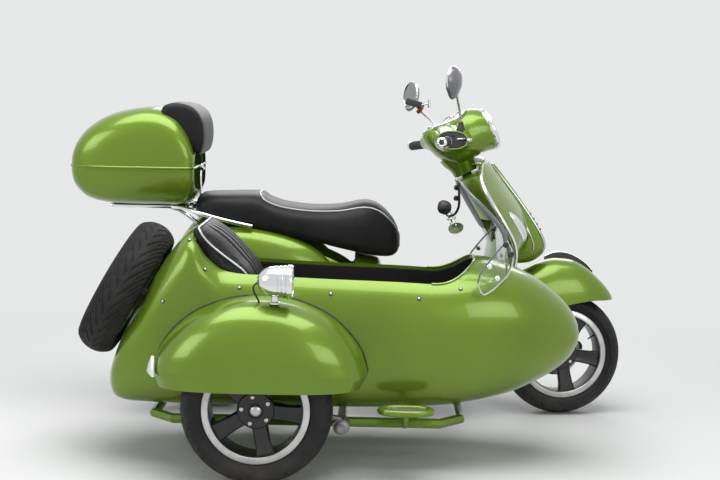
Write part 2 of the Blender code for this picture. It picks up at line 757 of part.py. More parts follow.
SHIELD_LEVELS = (
    # z, front x at the middle, edge x, half width
    (0.226, 1.085, 1.045, 0.150),
    (0.290, 1.100, 1.060, 0.190),
    (0.400, 1.112, 1.070, 0.225),
    (0.520, 1.128, 1.078, 0.255),
    (0.620, 1.140, 1.085, 0.285),
    (0.720, 1.128, 1.062, 0.315),
    (0.820, 1.104, 1.040, 0.325),
    (0.900, 1.078, 1.022, 0.305),
    (0.955, 1.058, 1.010, 0.240),
    (0.984, 1.049, 1.008, 0.150),
)


def shield_rings(front_gap, depth, widen=0.0):
    """Level outlines of the leg shield: an arc across the front and its copy a depth behind."""
    rings = []
    for z, middle_x, edge_x, half in SHIELD_LEVELS:
        places = [k / 5 - 1 for k in range(11)]
        if widen:
            places = [-1 - widen / half, *places, 1 + widen / half]
        front = [
            Vector((edge_x + (middle_x - edge_x) * (1 - t * t) - front_gap, t * half, z))
            for t in places
        ]
        back = [point - Vector((depth, 0, 0)) for point in reversed(front)]
        rings.append(front + back)
    return rings


def leg_shield(parent, finish, inner_finish):
    """The outer shield, the glove-box panel behind it and the nose in front."""
    tube_cut = tube([on_axis(0.30), on_axis(1.20)], COLUMN_RADIUS + RUNNING, 16)
    shield = add("leg_shield", skin(shield_rings(0.0, 0.014)), finish, parent)
    cut = add("shield_tube_cut", tube_cut, finish, parent)
    combine(shield, (cut,), "DIFFERENCE")

    levels = (
        # z, rear x, half width
        (0.300, 1.030, 0.060), (0.400, 1.015, 0.090), (0.500, 1.000, 0.150), (0.560, 0.990, 0.215),
        (0.700, 0.975, 0.255), (0.800, 0.968, 0.255), (0.880, 0.965, 0.215), (0.930, 0.968, 0.130),
    )
    rings = []
    for z, rear_x, half in levels:
        ring = [Vector((rear_x + 0.014 * power(t, 2) ** 2, t * half, z)) for t in (-1, -0.6, 0, 0.6, 1)]
        rings.append(ring + [Vector((1.090, half, z)), Vector((1.090, -half, z))])
    panel = add("knee_panel", skin(rings), inner_finish, parent)
    behind = add("knee_panel_front_cut", skin(shield_rings(-0.30, 0.014 + SEAT + 0.30, 0.05)), inner_finish, parent)
    cut = add("knee_tube_cut", tube([on_axis(0.30), on_axis(1.20)], COLUMN_RADIUS + RUNNING, 16), finish, parent)
    below = add("knee_floor_cut", skin(floor_rings(0.80, 1.20, SEAT)), finish, parent)
    neck_low = on_axis(NECK_LOW_Z) - STEER_AXIS * NECK_CLEARANCE
    neck = tube([neck_low, on_axis(1.10)], NECK_RADIUS + 2 * NECK_CLEARANCE, 16)
    combine(panel, (behind, cut, below, add("knee_neck_cut", neck, finish, parent)), "DIFFERENCE")

    nose_levels = (
        # z, front x, half width
        (0.640, 1.268, 0.075), (0.667, 1.300, 0.085), (0.700, 1.276, 0.085), (0.750, 1.236, 0.080),
        (0.833, 1.176, 0.062), (0.917, 1.117, 0.048), (0.975, 1.076, 0.036),
    )
    rings = []
    for z, front_x, half in nose_levels:
        ring = [
            Vector((front_x - 0.075 * (1 - math.cos(turn)), half * math.sin(turn), z))
            for turn in [math.pi / 2 * (k / 3 - 1) for k in range(7)]
        ]
        rings.append([Vector((1.02, -half, z))] + ring + [Vector((1.02, half, z))])
    nose = add("nose_cover", skin(rings), finish, parent)
    shield_cut = add("nose_shield_cut", skin(shield_rings(-SEAT, 0.20, 0.05)), finish, parent)
    cut = add("nose_tube_cut", tube([on_axis(0.30), on_axis(1.20)], COLUMN_RADIUS + RUNNING, 16), finish, parent)
    combine(nose, (shield_cut, cut), "DIFFERENCE")


SEAT_HINGE = Vector((0.722, 0.0, 0.600))


def seat(parent, finish):
    """The dual seat: one long cushion with a step between rider and passenger."""
    sections = (
        # x, half width, low z, high z, squareness
        (-0.038, 0.110, 0.756, 0.822, 2.6),
        (-0.020, 0.130, 0.748, 0.840, 2.8),
        (0.068, 0.140, 0.732, 0.847, 3.2),
        (0.182, 0.150, 0.712, 0.849, 3.2),
        (0.232, 0.156, 0.702, 0.826, 3.2),
        (0.290, 0.160, 0.690, 0.809, 3.2),
        (0.390, 0.158, 0.674, 0.800, 3.2),
        (0.500, 0.148, 0.648, 0.805, 3.2),
        (0.594, 0.125, 0.628, 0.822, 3.0),
        (0.660, 0.098, 0.610, 0.806, 2.8),
        (0.706, 0.072, 0.616, 0.752, 2.6),
        (0.728, 0.045, 0.640, 0.700, 2.4),
    )
    rings = [cross_section(*row[:1], 0.0, *row[1:]) for row in sections]
    cushion = add("seat", skin(rings), finish, parent, -Vector(parent.location))
    body = add("seat_body_cut", skin(body_rings(-SEAT)), finish, parent, -Vector(parent.location))
    combine(cushion, (body,), "DIFFERENCE")


CASE_SEAM_Z = 0.932
CASE_HINGE = Vector((-0.036, 0.0, CASE_SEAM_Z))
CASE_SECTIONS = (
    # x, half width, low z, high z, squareness
    (-0.522, 0.120, 0.900, 0.985, 2.6),
    (-0.505, 0.165, 0.865, 1.035, 3.0),
    (-0.456, 0.196, 0.815, 1.092, 3.4),
    (-0.378, 0.210, 0.800, 1.138, 3.8),
    (-0.281, 0.215, 0.797, 1.163, 4.0),
    (-0.190, 0.215, 0.797, 1.168, 4.0),
    (-0.120, 0.212, 0.797, 1.140, 4.0),
    (-0.075, 0.206, 0.810, 1.080, 3.8),
    (-0.048, 0.190, 0.850, 1.020, 3.4),
)


def top_case(parent, lid_parent, finishes):
    """The rear case: a lower tray and a lid that share one shell, split at the seam."""
    green, vinyl = finishes
    wall = 0.005
    rings = [cross_section(x, 0.0, h, lo, hi, sq) for x, h, lo, hi, sq in CASE_SECTIONS]
    inner = [
        cross_section(x, 0.0, h - wall, lo + wall, hi - wall, sq)
        for x, h, lo, hi, sq in CASE_SECTIONS[1:-1]
    ]
    for name, carrier, keep in (("case_tray", parent, -1), ("case_lid", lid_parent, 1)):
        shift = Vector((0, 0, 0)) if keep < 0 else -Vector(lid_parent.location)
        shell = add(name, skin(rings), green, carrier, shift)
        hollow = add(name + "_hollow", skin(inner), green, carrier, shift)
        if keep < 0:
            away = block((-0.7, -0.4, CASE_SEAM_Z - SEAT), (0.2, 0.4, 1.4))
        else:
            away = block((-0.7, -0.4, 0.6), (0.2, 0.4, CASE_SEAM_Z))
        other = add(name + "_split", away, green, carrier, shift)
        combine(shell, (hollow, other), "DIFFERENCE")
    pad_outline = (
        (-0.180, 1.150), (-0.165, 1.182), (-0.110, 1.190), (-0.053, 1.173), (-0.018, 1.131),
        (-0.012, 1.060), (-0.022, 1.003), (-0.044, 0.990), (-0.070, 1.060), (-0.110, 1.120),
    )
    pad = add("case_pad", side_plate(pad_outline, -0.160, 0.160), vinyl, lid_parent, -Vector(lid_parent.location))
    grown = [cross_section(x, 0.0, h + SEAT, lo - SEAT, hi + SEAT, sq) for x, h, lo, hi, sq in CASE_SECTIONS]
    cut = add("pad_cut", skin(grown), vinyl, lid_parent, -Vector(lid_parent.location))
    combine(pad, (cut,), "DIFFERENCE")


def rack(parent, chrome):
    """The rear rack under the case, and the grab rail that runs forward from it on each side."""
    top = 0.790
    rails = []
    deck = add("rear_rack", block((-0.380, -0.100, top - 0.012), (-0.085, 0.100, top + 0.012)), chrome, parent)
    for side in (-1, 1):
        rail = tube(
            [(-0.100, side * 0.090, top), (-0.075, side * 0.150, top - 0.002), (-0.010, side * 0.172, 0.768),
             (0.080, side * 0.176, 0.746), (0.170, side * 0.176, 0.730)],
            0.008, 8,
        )
        rails.append(add(f"rack_rail_{side + 1}", rail, chrome, parent))
        strut = tube([(-0.150, side * 0.080, top - 0.004), (-0.030, side * 0.080, 0.710)], 0.008, 8)
        rails.append(add(f"rack_strut_{side + 1}", strut, chrome, parent))
    cut_body = add("rack_body_cut", skin(body_rings(-SEAT)), chrome, parent)
    combine(deck, rails, "UNION")
    grown = [cross_section(x, 0.0, h + SEAT, lo - SEAT, hi + SEAT, sq) for x, h, lo, hi, sq in CASE_SECTIONS]
    cut_case = add("rack_case_cut", skin(grown), chrome, parent)
    combine(deck, (cut_body, cut_case), "DIFFERENCE")


def rear_end(parent, finishes):
    """Tail lamp, plate holder with its blank plate, and the mudguard that carries it."""
    green, black, red = finishes
    lamp = add("tail_lamp", block((-0.215, -0.055, 0.545), (-0.120, 0.055, 0.600), 0.012), red, parent)
    combine(lamp, (add("lamp_cut", skin(body_rings(-SEAT)), red, parent),), "DIFFERENCE")
    guard_outline = ((-0.150, 0.500), (-0.200, 0.515), (-0.300, 0.400), (-0.345, 0.300), (-0.338, 0.296), (-0.290, 0.392), (-0.205, 0.490))
    guard = add("rear_mudguard", side_plate(guard_outline, -0.075, 0.075), black, parent)
    combine(guard, (add("guard_cut", skin(body_rings(-SEAT)), black, parent),), "DIFFERENCE")


def engine(parent, finishes):
    """The engine and its transmission case as one plain block, with the rear axle and the silencer."""
    metal, black = finishes
    unit = add("engine_unit", block((0.262, -0.120, 0.215), (0.500, 0.130, 0.425), 0.012), metal, parent)
    case = add("transmission", block((-0.085, 0.080, 0.165), (0.420, 0.170, 0.322), 0.015), metal, parent)
    axle = add(
        "rear_axle_solid", tube([(0, 0.100, REAR_TYRE_RADIUS), (0, -0.100, REAR_TYRE_RADIUS)], AXLE_RADIUS, 12),
        metal, parent,
    )
    bearer = add("engine_bearer", block((0.330, -0.050, 0.400), (0.430, 0.050, 0.4397)), metal, parent)
    arm_outline = ((0.300, 0.220), (0.300, 0.300), (0.000, 0.280), (-0.080, 0.280), (-0.080, 0.222), (0.000, 0.212))
    arm = add("right_arm", side_plate(arm_outline, -0.118, -0.088), metal, parent)
    combine(unit, (case, axle, bearer, arm), "UNION")
    rings = [
        [Vector((x, -0.168 + y, 0.270 + z)) for y, z in oval(half * 0.8, half, 2.5, 16)]
        for x, half in ((-0.280, 0.030), (-0.262, 0.048), (0.060, 0.055), (0.100, 0.030), (0.130, 0.018))
    ]
    can = add("silencer", skin(rings), black, parent)
    pipe = add(
        "exhaust_pipe",
        tube([(0.115, -0.168, 0.268), (0.200, -0.168, 0.230), (0.300, -0.150, 0.240), (0.340, -0.1195, 0.260)], 0.014, 10),
        black, parent,
    )
    flange = add("exhaust_cut", block((0.262 - SEAT, -0.120 - SEAT, 0.215), (0.500, 0.130, 0.425)), black, parent)
    hanger = add("silencer_hanger", block((-0.070, -0.150, 0.235), (-0.030, -0.118 - SEAT, 0.265)), black, parent)
    combine(can, (pipe, hanger), "UNION")
    combine(can, (flange,), "DIFFERENCE")


def shocks(parent, finish):
    """The two rear dampers between the transmission and the body."""
    for name, side in (("shock_left", 1), ("shock_right", -1)):
        low = Vector((-0.055, side * 0.104, 0.260))
        high = Vector((-0.035, side * 0.114, 0.470))
        damper = add(name, tube([low, high], 0.012, 8), finish, parent)
        body = add(name + "_body_cut", skin(body_rings(-SEAT)), finish, parent)
        floor_z = (0.322 if side > 0 else 0.280) + SEAT
        under = add(name + "_low_cut", block((-0.2, -0.2, 0.2), (0.1, 0.2, floor_z)), finish, parent)
        combine(damper, (body, under), "DIFFERENCE")


# Steering assembly

HOOD_END_Y = 0.186
NECK_LOW_Z = 0.9355
NECK_RADIUS = 0.046
NECK_CLEARANCE = 0.006


def headset(parent, finishes):
    """The handlebar's housing with the headlamp in it, its bar, grips, levers and mirrors."""
    green, black, chrome, glass = finishes
    back = -STEER_POINT
    sections = (
        # x, half width, low z, high z, squareness
        (0.815, 0.030, 1.050, 1.088, 2.2),
        (0.840, 0.060, 1.020, 1.104, 2.4),
        (0.880, 0.085, 0.985, 1.120, 2.6),
        (0.930, 0.105, 0.965, 1.146, 2.7),
        (0.975, 0.110, 0.975, 1.178, 2.5),
        (1.020, 0.104, 1.004, 1.184, 2.3),
        (1.075, 0.092, 1.022, 1.184, 2.1),
    )
    rings = [cross_section(*row[:1], 0.0, *row[1:]) for row in sections]
    lean = math.atan2(1.112 - 1.038, 1.182 - 1.026)
    face = Vector((math.cos(lean), 0.0, math.sin(lean)))
    bezel = Vector((1.066, 0.0, 1.104))
    shell = skin(rings)
    trim = bmesh.ops.bisect_plane(
        shell, geom=shell.verts[:] + shell.edges[:] + shell.faces[:], plane_co=bezel - face * 0.012,
        plane_no=face, clear_outer=True,
    )
    edges = [item for item in trim["geom_cut"] if isinstance(item, bmesh.types.BMEdge)]
    bmesh.ops.contextual_create(shell, geom=edges)
    housing = add("headset", shell, green, parent, back)
    arms = []
    for side in (-1, 1):
        stations = (
            # y, x, z, half length, half height
            (0.020, 0.930, 1.066, 0.080, 0.058), (0.085, 0.914, 1.062, 0.076, 0.054),
            (0.120, 0.906, 1.060, 0.068, 0.047), (0.155, 0.898, 1.058, 0.062, 0.040),
            (HOOD_END_Y, 0.891, 1.056, 0.058, 0.035),
        )
        arm = [
            [Vector((x + a, side * y, z + b)) for a, b in oval(long, tall, 2.3, 12)]
            for y, x, z, long, tall in stations
        ]
        arms.append(add(f"headset_arm_{side + 1}", skin(arm), green, parent, back))
    neck = []
    for reach, radius in ((0.0, NECK_RADIUS), (0.030, 0.052), (0.055, 0.066), (0.080, 0.074)):
        along = on_axis(NECK_LOW_Z) + STEER_AXIS * reach
        up = Vector((STEER_AXIS.z, 0.0, -STEER_AXIS.x))
        neck.append([along + up * a + Vector((0, b, 0)) for a, b in oval(radius, radius, 2.0, 16)])
    combine(housing, (*arms, add("headset_neck", skin(neck), green, parent, back)), "UNION")
    socket = add(
        "headset_socket", tube([on_axis(0.90), on_axis(COLUMN_TOP_Z + 0.0003)], COLUMN_RADIUS + SEAT, 16), green, parent, back
    )
    combine(housing, (socket,), "DIFFERENCE")

    lamp_rings = []
    for along, radius in ((-0.0117, 0.080), (0.010, 0.086), (0.022, 0.080), (0.026, 0.060)):
        up = Vector((-face.z, 0.0, face.x))
        lamp_rings.append(
            [bezel + face * along + up * b + Vector((0, a, 0)) for a, b in oval(radius, radius, 2.0, 24)]
        )
    add("headlamp", skin(lamp_rings), glass, parent, back)

    bar_points = [
        (0.8195, -0.344, 1.041), (0.858, -0.228, 1.047), (0.900, -0.120, 1.060), (0.918, 0.0, 1.070),
        (0.900, 0.120, 1.060), (0.858, 0.228, 1.047), (0.8195, 0.344, 1.041),
    ]
    bar = add("handlebar", tube(bar_points, 0.010, 8), black, parent, back)
    bar_cut = add("headset_bar_cut", tube(bar_points, 0.010 + SEAT, 8), green, parent, back)
    combine(housing, (bar_cut,), "DIFFERENCE")

    def arm_cut(name, side):
        arm = [
            [Vector((x + a, side * y, z + b)) for a, b in oval(long + SEAT, tall + SEAT, 2.3, 12)]
            for y, x, z, long, tall in stations
        ]
        arm[-1] = [point + Vector((0, side * SEAT, 0)) for point in arm[-1]]
        return add(name, skin(arm), green, parent, back)

    grips = []
    for name, side in (("left", 1), ("right", -1)):
        grip = add(
            "grip_" + name, tube([(0.860, side * 0.222, 1.0468), (0.819, side * 0.345, 1.041)], 0.017, 12),
            black, parent, back,
        )
        controls = [
            [Vector((x + a, side * y, z + b)) for a, b in oval(long, tall, 2.6, 10)]
            for y, x, z, long, tall in (
                (HOOD_END_Y + SEAT, 0.876, 1.051, 0.034, 0.026), (0.210, 0.866, 1.049, 0.030, 0.025),
                (0.226, 0.859, 1.047, 0.022, 0.021),
            )
        ]
        grips += [grip, add("controls_" + name, skin(controls), black, parent, back)]
        lever = add(
            "lever_" + name,
            tube(
                [(0.890, side * 0.150, 1.060), (0.935, side * 0.172, 1.060), (0.945, side * 0.240, 1.058),
                 (0.922, side * 0.325, 1.052)],
                0.007, 8,
            ),
            chrome, parent, back,
        )
        combine(lever, (arm_cut("lever_cut_" + name, side),), "DIFFERENCE")
        mirror_at = Vector((0.868, side * 0.300, 1.286)) if side < 0 else Vector((0.815, side * 0.300, 1.240))
        disc_rings = [
            [mirror_at + Vector((x, a, b)) for a, b in oval(radius, radius, 2.0, 16)]
            for x, radius in ((-0.009, 0.053), (0.004, 0.055), (0.016, 0.040), (0.020, 0.015))
        ]
        mirror = add("mirror_" + name, skin(disc_rings), chrome, parent, back)
        stem = add(
            "mirror_stem_" + name,
            tube(
                [(0.892, side * 0.150, 1.060), (0.892, side * 0.160, 1.150), mirror_at + Vector((0.012, 0, -0.020))],
                0.005, 8,
            ),
            chrome, parent, back,
        )
        combine(mirror, (stem,), "UNION")
        combine(mirror, (arm_cut("mirror_cut_" + name, side),), "DIFFERENCE")
    combine(bar, grips, "UNION")


FORK_PATH = (
    on_axis(COLUMN_LOW_Z + 0.012), Vector((1.200, 0.014, 0.510)), Vector((1.250, 0.062, 0.470)),
    Vector((1.320, LINK_Y, 0.400)), Vector((1.420, LINK_Y, 0.310)), LINK_PIVOT,
)
FORK_RADIUS = 0.017
LINK_RADIUS = 0.016


DISC_RADIUS = 0.098
DISC_Y = 0.0625
DISC_THICKNESS = 0.004
PAD_GAP = 0.005
CALIPER_TURN = math.radians(128.0)
CALIPER_OUTER_Y = 0.0825


def brake_caliper(axle_at, finish, parent, back):
    """The caliper: a jaw on each side of the disc, a bridge over its rim, and an arm down to the link."""
    def slice_of(first_radius, last_radius, half_turn):
        turns = [CALIPER_TURN + math.radians(half_turn) * (k / 2 - 1) for k in range(5)]
        outer = [(last_radius, turn) for turn in turns]
        inner = [(first_radius, turn) for turn in reversed(turns)]
        return [(axle_at.x + r * math.cos(a), axle_at.z + r * math.sin(a)) for r, a in outer + inner]

    rim = DISC_RADIUS + PAD_GAP
    inner_y = DISC_Y - PAD_GAP
    outer_y = DISC_Y + DISC_THICKNESS + PAD_GAP
    jaw = slice_of(0.058, rim + 0.013, 17)
    arm = (
        (axle_at.x - 0.046, axle_at.z - 0.010), (axle_at.x - 0.014, axle_at.z - 0.010),
        (axle_at.x - 0.018, axle_at.z + 0.050), (axle_at.x - 0.060, axle_at.z + 0.050),
    )
    forms = (
        ("caliper_outer", jaw, outer_y, CALIPER_OUTER_Y), ("caliper_inner", jaw, inner_y - 0.0075, inner_y),
        ("caliper_bridge", slice_of(rim, rim + 0.0112, 14), inner_y - 0.0041, CALIPER_OUTER_Y - 0.0021),
        ("caliper_arm", arm, outer_y + 0.0005, CALIPER_OUTER_Y - 0.0005),
    )
    return [add(name, side_plate(outline, low, high), finish, parent, back) for name, outline, low, high in forms]


def fork(parent, finishes):
    """The steering column, the leg that bends past the wheel, the trailing link, brake and damper."""
    metal, black, green = finishes
    back = -STEER_POINT
    column = add("steering_column", tube([on_axis(COLUMN_LOW_Z), on_axis(COLUMN_TOP_Z)], COLUMN_RADIUS, 16), metal, parent, back)
    leg = add("fork_leg", tube(FORK_PATH, FORK_RADIUS, 10), metal, parent, back)
    combine(column, (leg,), "UNION")

    axle_at = Vector((WHEELBASE, 0.0, FRONT_TYRE_RADIUS))
    link_end = Vector((WHEELBASE - 0.030, LINK_Y, FRONT_TYRE_RADIUS))
    link = add("front_link", tube([LINK_PIVOT, link_end], LINK_RADIUS, 10), metal, parent, back)
    axle = add(
        "front_axle_solid", tube([axle_at + Vector((0, LINK_Y, 0)), axle_at + Vector((0, -0.030, 0))], AXLE_RADIUS, 12),
        metal, parent, back,
    )
    leg_cut = add("link_leg_cut", tube(FORK_PATH, FORK_RADIUS + 2 * SEAT, 10), metal, parent, back)
    caliper = brake_caliper(axle_at, metal, parent, back)
    combine(link, (axle, *caliper), "UNION")
    combine(link, (leg_cut,), "DIFFERENCE")

    foot = Vector((1.352, LINK_Y, 0.242))
    head = Vector((1.306, LINK_Y, 0.402))
    damper = add("front_damper", tube([foot, head], 0.013, 10), black, parent, back)
    fork_cut = add("damper_leg_cut", tube(FORK_PATH, FORK_RADIUS + 2 * SEAT, 10), metal, parent, back)
    link_cut = add("damper_link_cut", tube([LINK_PIVOT, link_end], LINK_RADIUS + 2 * SEAT, 10), metal, parent, back)
    axle_cut = add(
        "damper_axle_cut", tube([axle_at + Vector((0, 0.2, 0)), axle_at], AXLE_RADIUS + 2 * SEAT, 12), metal, parent, back
    )
    below = add("damper_low_cut", block((1.2, 0.05, 0.10), (1.5, 0.15, FRONT_TYRE_RADIUS)), metal, parent, back)
    combine(damper, (fork_cut, link_cut, axle_cut, below), "DIFFERENCE")


FENDER_SECTIONS = (
    # x, half width, low z, high z
    (1.175, 0.088, 0.420, 0.520), (1.215, 0.092, 0.415, 0.556), (1.270, 0.095, 0.415, 0.586),
    (1.356, 0.095, 0.420, 0.606), (1.415, 0.093, 0.432, 0.590), (1.474, 0.085, 0.444, 0.556),
    (1.526, 0.064, 0.446, 0.511), (1.560, 0.036, 0.446, 0.474), (1.575, 0.014, 0.446, 0.458),
)


def front_fender(parent, finish):
    """The pointed hood over the front wheel, which turns with it."""
    back = -STEER_POINT
    wall = 0.006

    def ring(x, half, low, high, inset):
        turns = [math.pi * k / 14 for k in range(15)]
        return [
            Vector(
                (
                    x,
                    (half - inset) * power(math.cos(turn), 0.85),
                    low + (high - low - inset) * power(math.sin(turn), 0.85),
                )
            )
            for turn in turns
        ]

    outer = [ring(*row, 0.0) for row in FENDER_SECTIONS]
    inner = [
        [point - Vector((0, 0, 0.03)) if k in (0, 14) else point for k, point in enumerate(ring(*row, wall))]
        for row in FENDER_SECTIONS[:-1]
    ]
    inner[0] = [point - Vector((0.03, 0, 0)) for point in inner[0]]
    hood = add("front_fender", skin(outer), finish, parent, back)
    hollow = add("hood_hollow", skin(inner), finish, parent, back)
    column_cut = add("hood_column_cut", tube([on_axis(COLUMN_LOW_Z - SEAT), on_axis(0.70)], COLUMN_RADIUS + SEAT, 16), finish, parent, back)
    leg_cut = add("hood_leg_cut", tube(FORK_PATH, FORK_RADIUS + 2 * SEAT, 10), finish, parent, back)
    combine(hood, (hollow, column_cut, leg_cut), "DIFFERENCE")


def bulb_horn(parent, finishes):
    """A bulb horn on a bar at the windscreen's far edge: ball, coil and bell."""
    black, chrome = finishes
    y = -0.372
    profile = (
        # along, radius
        (-0.030, 0.006), (-0.022, 0.020), (-0.004, 0.026), (0.014, 0.021), (0.022, 0.009),
        (0.060, 0.008), (0.075, 0.012), (0.095, 0.028),
    )
    start = Vector((0.885, y, 0.832))
    along = Vector((0.55, 0.0, -0.83)).normalized()
    up = Vector((-along.z, 0.0, along.x))
    rings = [
        [start + along * reach + up * b + Vector((0, a, 0)) for a, b in oval(radius, radius, 2.0, 12)]
        for reach, radius in profile
    ]
    horn = add("bulb_horn", skin(rings), chrome, parent)
    stalk = add("horn_stalk", tube([(0.880, y - 0.040, 0.540), (0.890, y - 0.030, 0.700), (0.900, y, 0.800)], 0.006, 8), chrome, parent)
    combine(horn, (stalk,), "UNION")
    combine(horn, (grown_hull("horn_hull_cut", parent, chrome),), "DIFFERENCE")


def build():
    """Makes the finishes, the reference points and every piece."""
    clear_scene()
    green = material("green paint", GREEN, 0.18, 0.3)
    black = material("black plastic", BLACK, 0.45)
    rubber = material("tyre rubber", (0.02, 0.02, 0.02), 0.8)
    satin_black = material("satin black alloy", BLACK, 0.35, 0.3)
    chrome = material("chrome", (0.75, 0.75, 0.76), 0.08, 1.0)
    metal = material("cast metal", (0.35, 0.35, 0.36), 0.45, 0.9)
    vinyl = material("black vinyl", (0.02, 0.02, 0.022), 0.5)
    glass = material("lens glass", (0.85, 0.88, 0.9), 0.05)
    red = material("red lens", (0.45, 0.02, 0.02), 0.15)

    vehicle = empty("vehicle", (ORIGIN_X, ORIGIN_Y, 0.0))
    steering = empty("steering_axis", STEER_POINT, vehicle)
    steering.rotation_euler = Matrix.Rotation(STEER_TURN, 4, STEER_AXIS).to_euler()
    front_at = Vector((WHEELBASE, 0.0, FRONT_TYRE_RADIUS)) - STEER_POINT
    front_hub = empty("front_hub", front_at, steering)
    rear_hub = empty("rear_hub", (0.0, 0.0, REAR_TYRE_RADIUS), vehicle)
    sidecar_hub = empty("sidecar_hub", (SIDECAR_WHEEL_X, SIDECAR_WHEEL_Y, REAR_TYRE_RADIUS), vehicle)
    seat_hinge = empty("seat_hinge", SEAT_HINGE, vehicle)
    lid_hinge = empty("lid_hinge", CASE_HINGE, vehicle)

    wheel("front", front_hub, FRONT_TYRE_RADIUS, FRONT_TYRE_WIDTH, -1, -0.16, (rubber, satin_black), DISC_Y + DISC_THICKNESS)
    wheel("rear", rear_hub, REAR_TYRE_RADIUS, REAR_TYRE_WIDTH, -1, 0.4, (rubber, satin_black), 0.060)
    wheel("sidecar", sidecar_hub, REAR_TYRE_RADIUS, REAR_TYRE_WIDTH, -1, -0.087, (rubber, satin_black), 0.060)

    sidecar_hull(vehicle, green)
    sidecar_fender(vehicle, green)
    sidecar_seat(vehicle, vinyl)
    windscreen(vehicle, glass)
    fender_lamp(vehicle, chrome)
    sidecar_chassis(vehicle, green)
    sidecar_arm(vehicle, metal)
    sidecar_step(vehicle, green)
    spare_wheel(vehicle, (rubber, satin_black, metal))
    sidecar_mount(vehicle, metal)
    bulb_horn(vehicle, (black, chrome))

    rear_body(vehicle, green)
    cowls(vehicle, green)
    floor(vehicle, black)
    leg_shield(vehicle, green, black)
    seat(seat_hinge, vinyl)
    top_case(vehicle, lid_hinge, (green, vinyl))
    rack(vehicle, chrome)
    rear_end(vehicle, (green, black, red))
    engine(vehicle, (metal, black))
    shocks(vehicle, black)

    headset(steering, (green, black, chrome, glass))
    fork(steering, (metal, black, green))
    front_fender(steering, green)


build()
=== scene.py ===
from math import atan2, copysign, cos, exp, hypot, pi, radians, sin, tau

import bmesh
import bpy
from mathutils import Matrix, Vector
from mathutils.bvhtree import BVHTree


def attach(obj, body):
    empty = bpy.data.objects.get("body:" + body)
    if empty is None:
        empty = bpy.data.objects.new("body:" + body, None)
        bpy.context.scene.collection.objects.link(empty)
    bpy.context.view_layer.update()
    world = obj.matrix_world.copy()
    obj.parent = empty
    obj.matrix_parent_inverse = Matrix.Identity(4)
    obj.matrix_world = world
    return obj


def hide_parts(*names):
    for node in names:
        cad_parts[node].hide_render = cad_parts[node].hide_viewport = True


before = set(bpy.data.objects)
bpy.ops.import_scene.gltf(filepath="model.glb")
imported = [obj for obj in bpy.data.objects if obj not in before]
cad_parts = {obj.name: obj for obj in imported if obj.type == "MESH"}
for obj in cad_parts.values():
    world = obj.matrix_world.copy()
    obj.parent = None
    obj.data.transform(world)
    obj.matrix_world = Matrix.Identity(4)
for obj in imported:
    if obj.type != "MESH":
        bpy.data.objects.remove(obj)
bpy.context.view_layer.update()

# Rear body: the pressed steel shell under the seat, with the wheel's arch and the engine's bay open
# below. It is sprayed with the outfit's apple green metallic lacquer and clear coat.
# Places in this file are measured from the ground under the scooter's rear axle, +X forwards.
VEHICLE = Matrix.Translation((-0.5422, 0.38625, 0.0))
WHEELBASE = 1.37
FRONT_RADIUS = 0.2364
REAR_RADIUS = 0.2434
GREEN = (0.124, 0.212, 0.008)
GREEN_DEEP = (0.052, 0.102, 0.004)
DUST = (0.23, 0.2, 0.16)


def node(tree, kind, **settings):
    """Adds a shader node and sets its properties and unlinked sockets."""
    made = tree.nodes.new("ShaderNode" + kind)
    for name, value in settings.items():
        if hasattr(made, name):
            setattr(made, name, value)
        else:
            made.inputs[name.replace("_", " ")].default_value = value
    return made


def wires(tree, *links):
    """Joins sockets, each link given as a node, its output, the next node and its input."""
    for giver, output, taker, socket in links:
        tree.links.new(giver.outputs[output], taker.inputs[socket])


def effect(name, inputs, outputs):
    """An empty shader group with named sockets; returns its tree, its input and its output node."""
    tree = bpy.data.node_groups.new(name, "ShaderNodeTree")
    for socket, kind in inputs:
        tree.interface.new_socket(socket, in_out="INPUT", socket_type="NodeSocket" + kind)
    for socket, kind in outputs:
        tree.interface.new_socket(socket, in_out="OUTPUT", socket_type="NodeSocket" + kind)
    return tree, tree.nodes.new("NodeGroupInput"), tree.nodes.new("NodeGroupOutput")


# Street dust settles low down and in cloudy patches
dusting, d_in, d_out = effect(
    "street_dust",
    [("Colour", "Color"), ("Reach", "Float"), ("Amount", "Float"), ("Roughness", "Float")],
    [("Colour", "Color"), ("Roughness", "Float")],
)
place = node(dusting, "TexCoord")
split = node(dusting, "SeparateXYZ")
clouds = node(dusting, "TexNoise", Scale=9.0, Detail=5.0, Roughness=0.62)
fall = node(dusting, "Math", operation="DIVIDE")
low = node(dusting, "Math", operation="SUBTRACT", use_clamp=True)
low.inputs[0].default_value = 1.0
patch = node(dusting, "MapRange", From_Min=0.35, From_Max=0.75)
where = node(dusting, "Math", operation="MULTIPLY")
share = node(dusting, "Math", operation="MULTIPLY", use_clamp=True)
blend = node(dusting, "Mix", data_type="RGBA", B=(*DUST, 1.0))
rougher = node(dusting, "Math", operation="MULTIPLY_ADD", use_clamp=True)
rougher.inputs[1].default_value = 0.5
wires(
    dusting, (place, "Object", split, 0), (place, "Object", clouds, "Vector"), (split, "Z", fall, 0),
    (d_in, "Reach", fall, 1), (fall, 0, low, 1), (clouds, "Fac", patch, "Value"), (low, 0, where, 0),
    (patch, "Result", where, 1), (where, 0, share, 0), (d_in, "Amount", share, 1),
    (share, 0, blend, "Factor"), (d_in, "Colour", blend, "A"), (share, 0, rougher, 0),
    (d_in, "Roughness", rougher, 2), (blend, "Result", d_out, "Colour"),
    (rougher, 0, d_out, "Roughness"),
)


def blank(name):
    """A new material, its tree and its shader."""
    made = bpy.data.materials.new(name)
    made.use_nodes = True
    return made, made.node_tree, made.node_tree.nodes["Principled BSDF"]


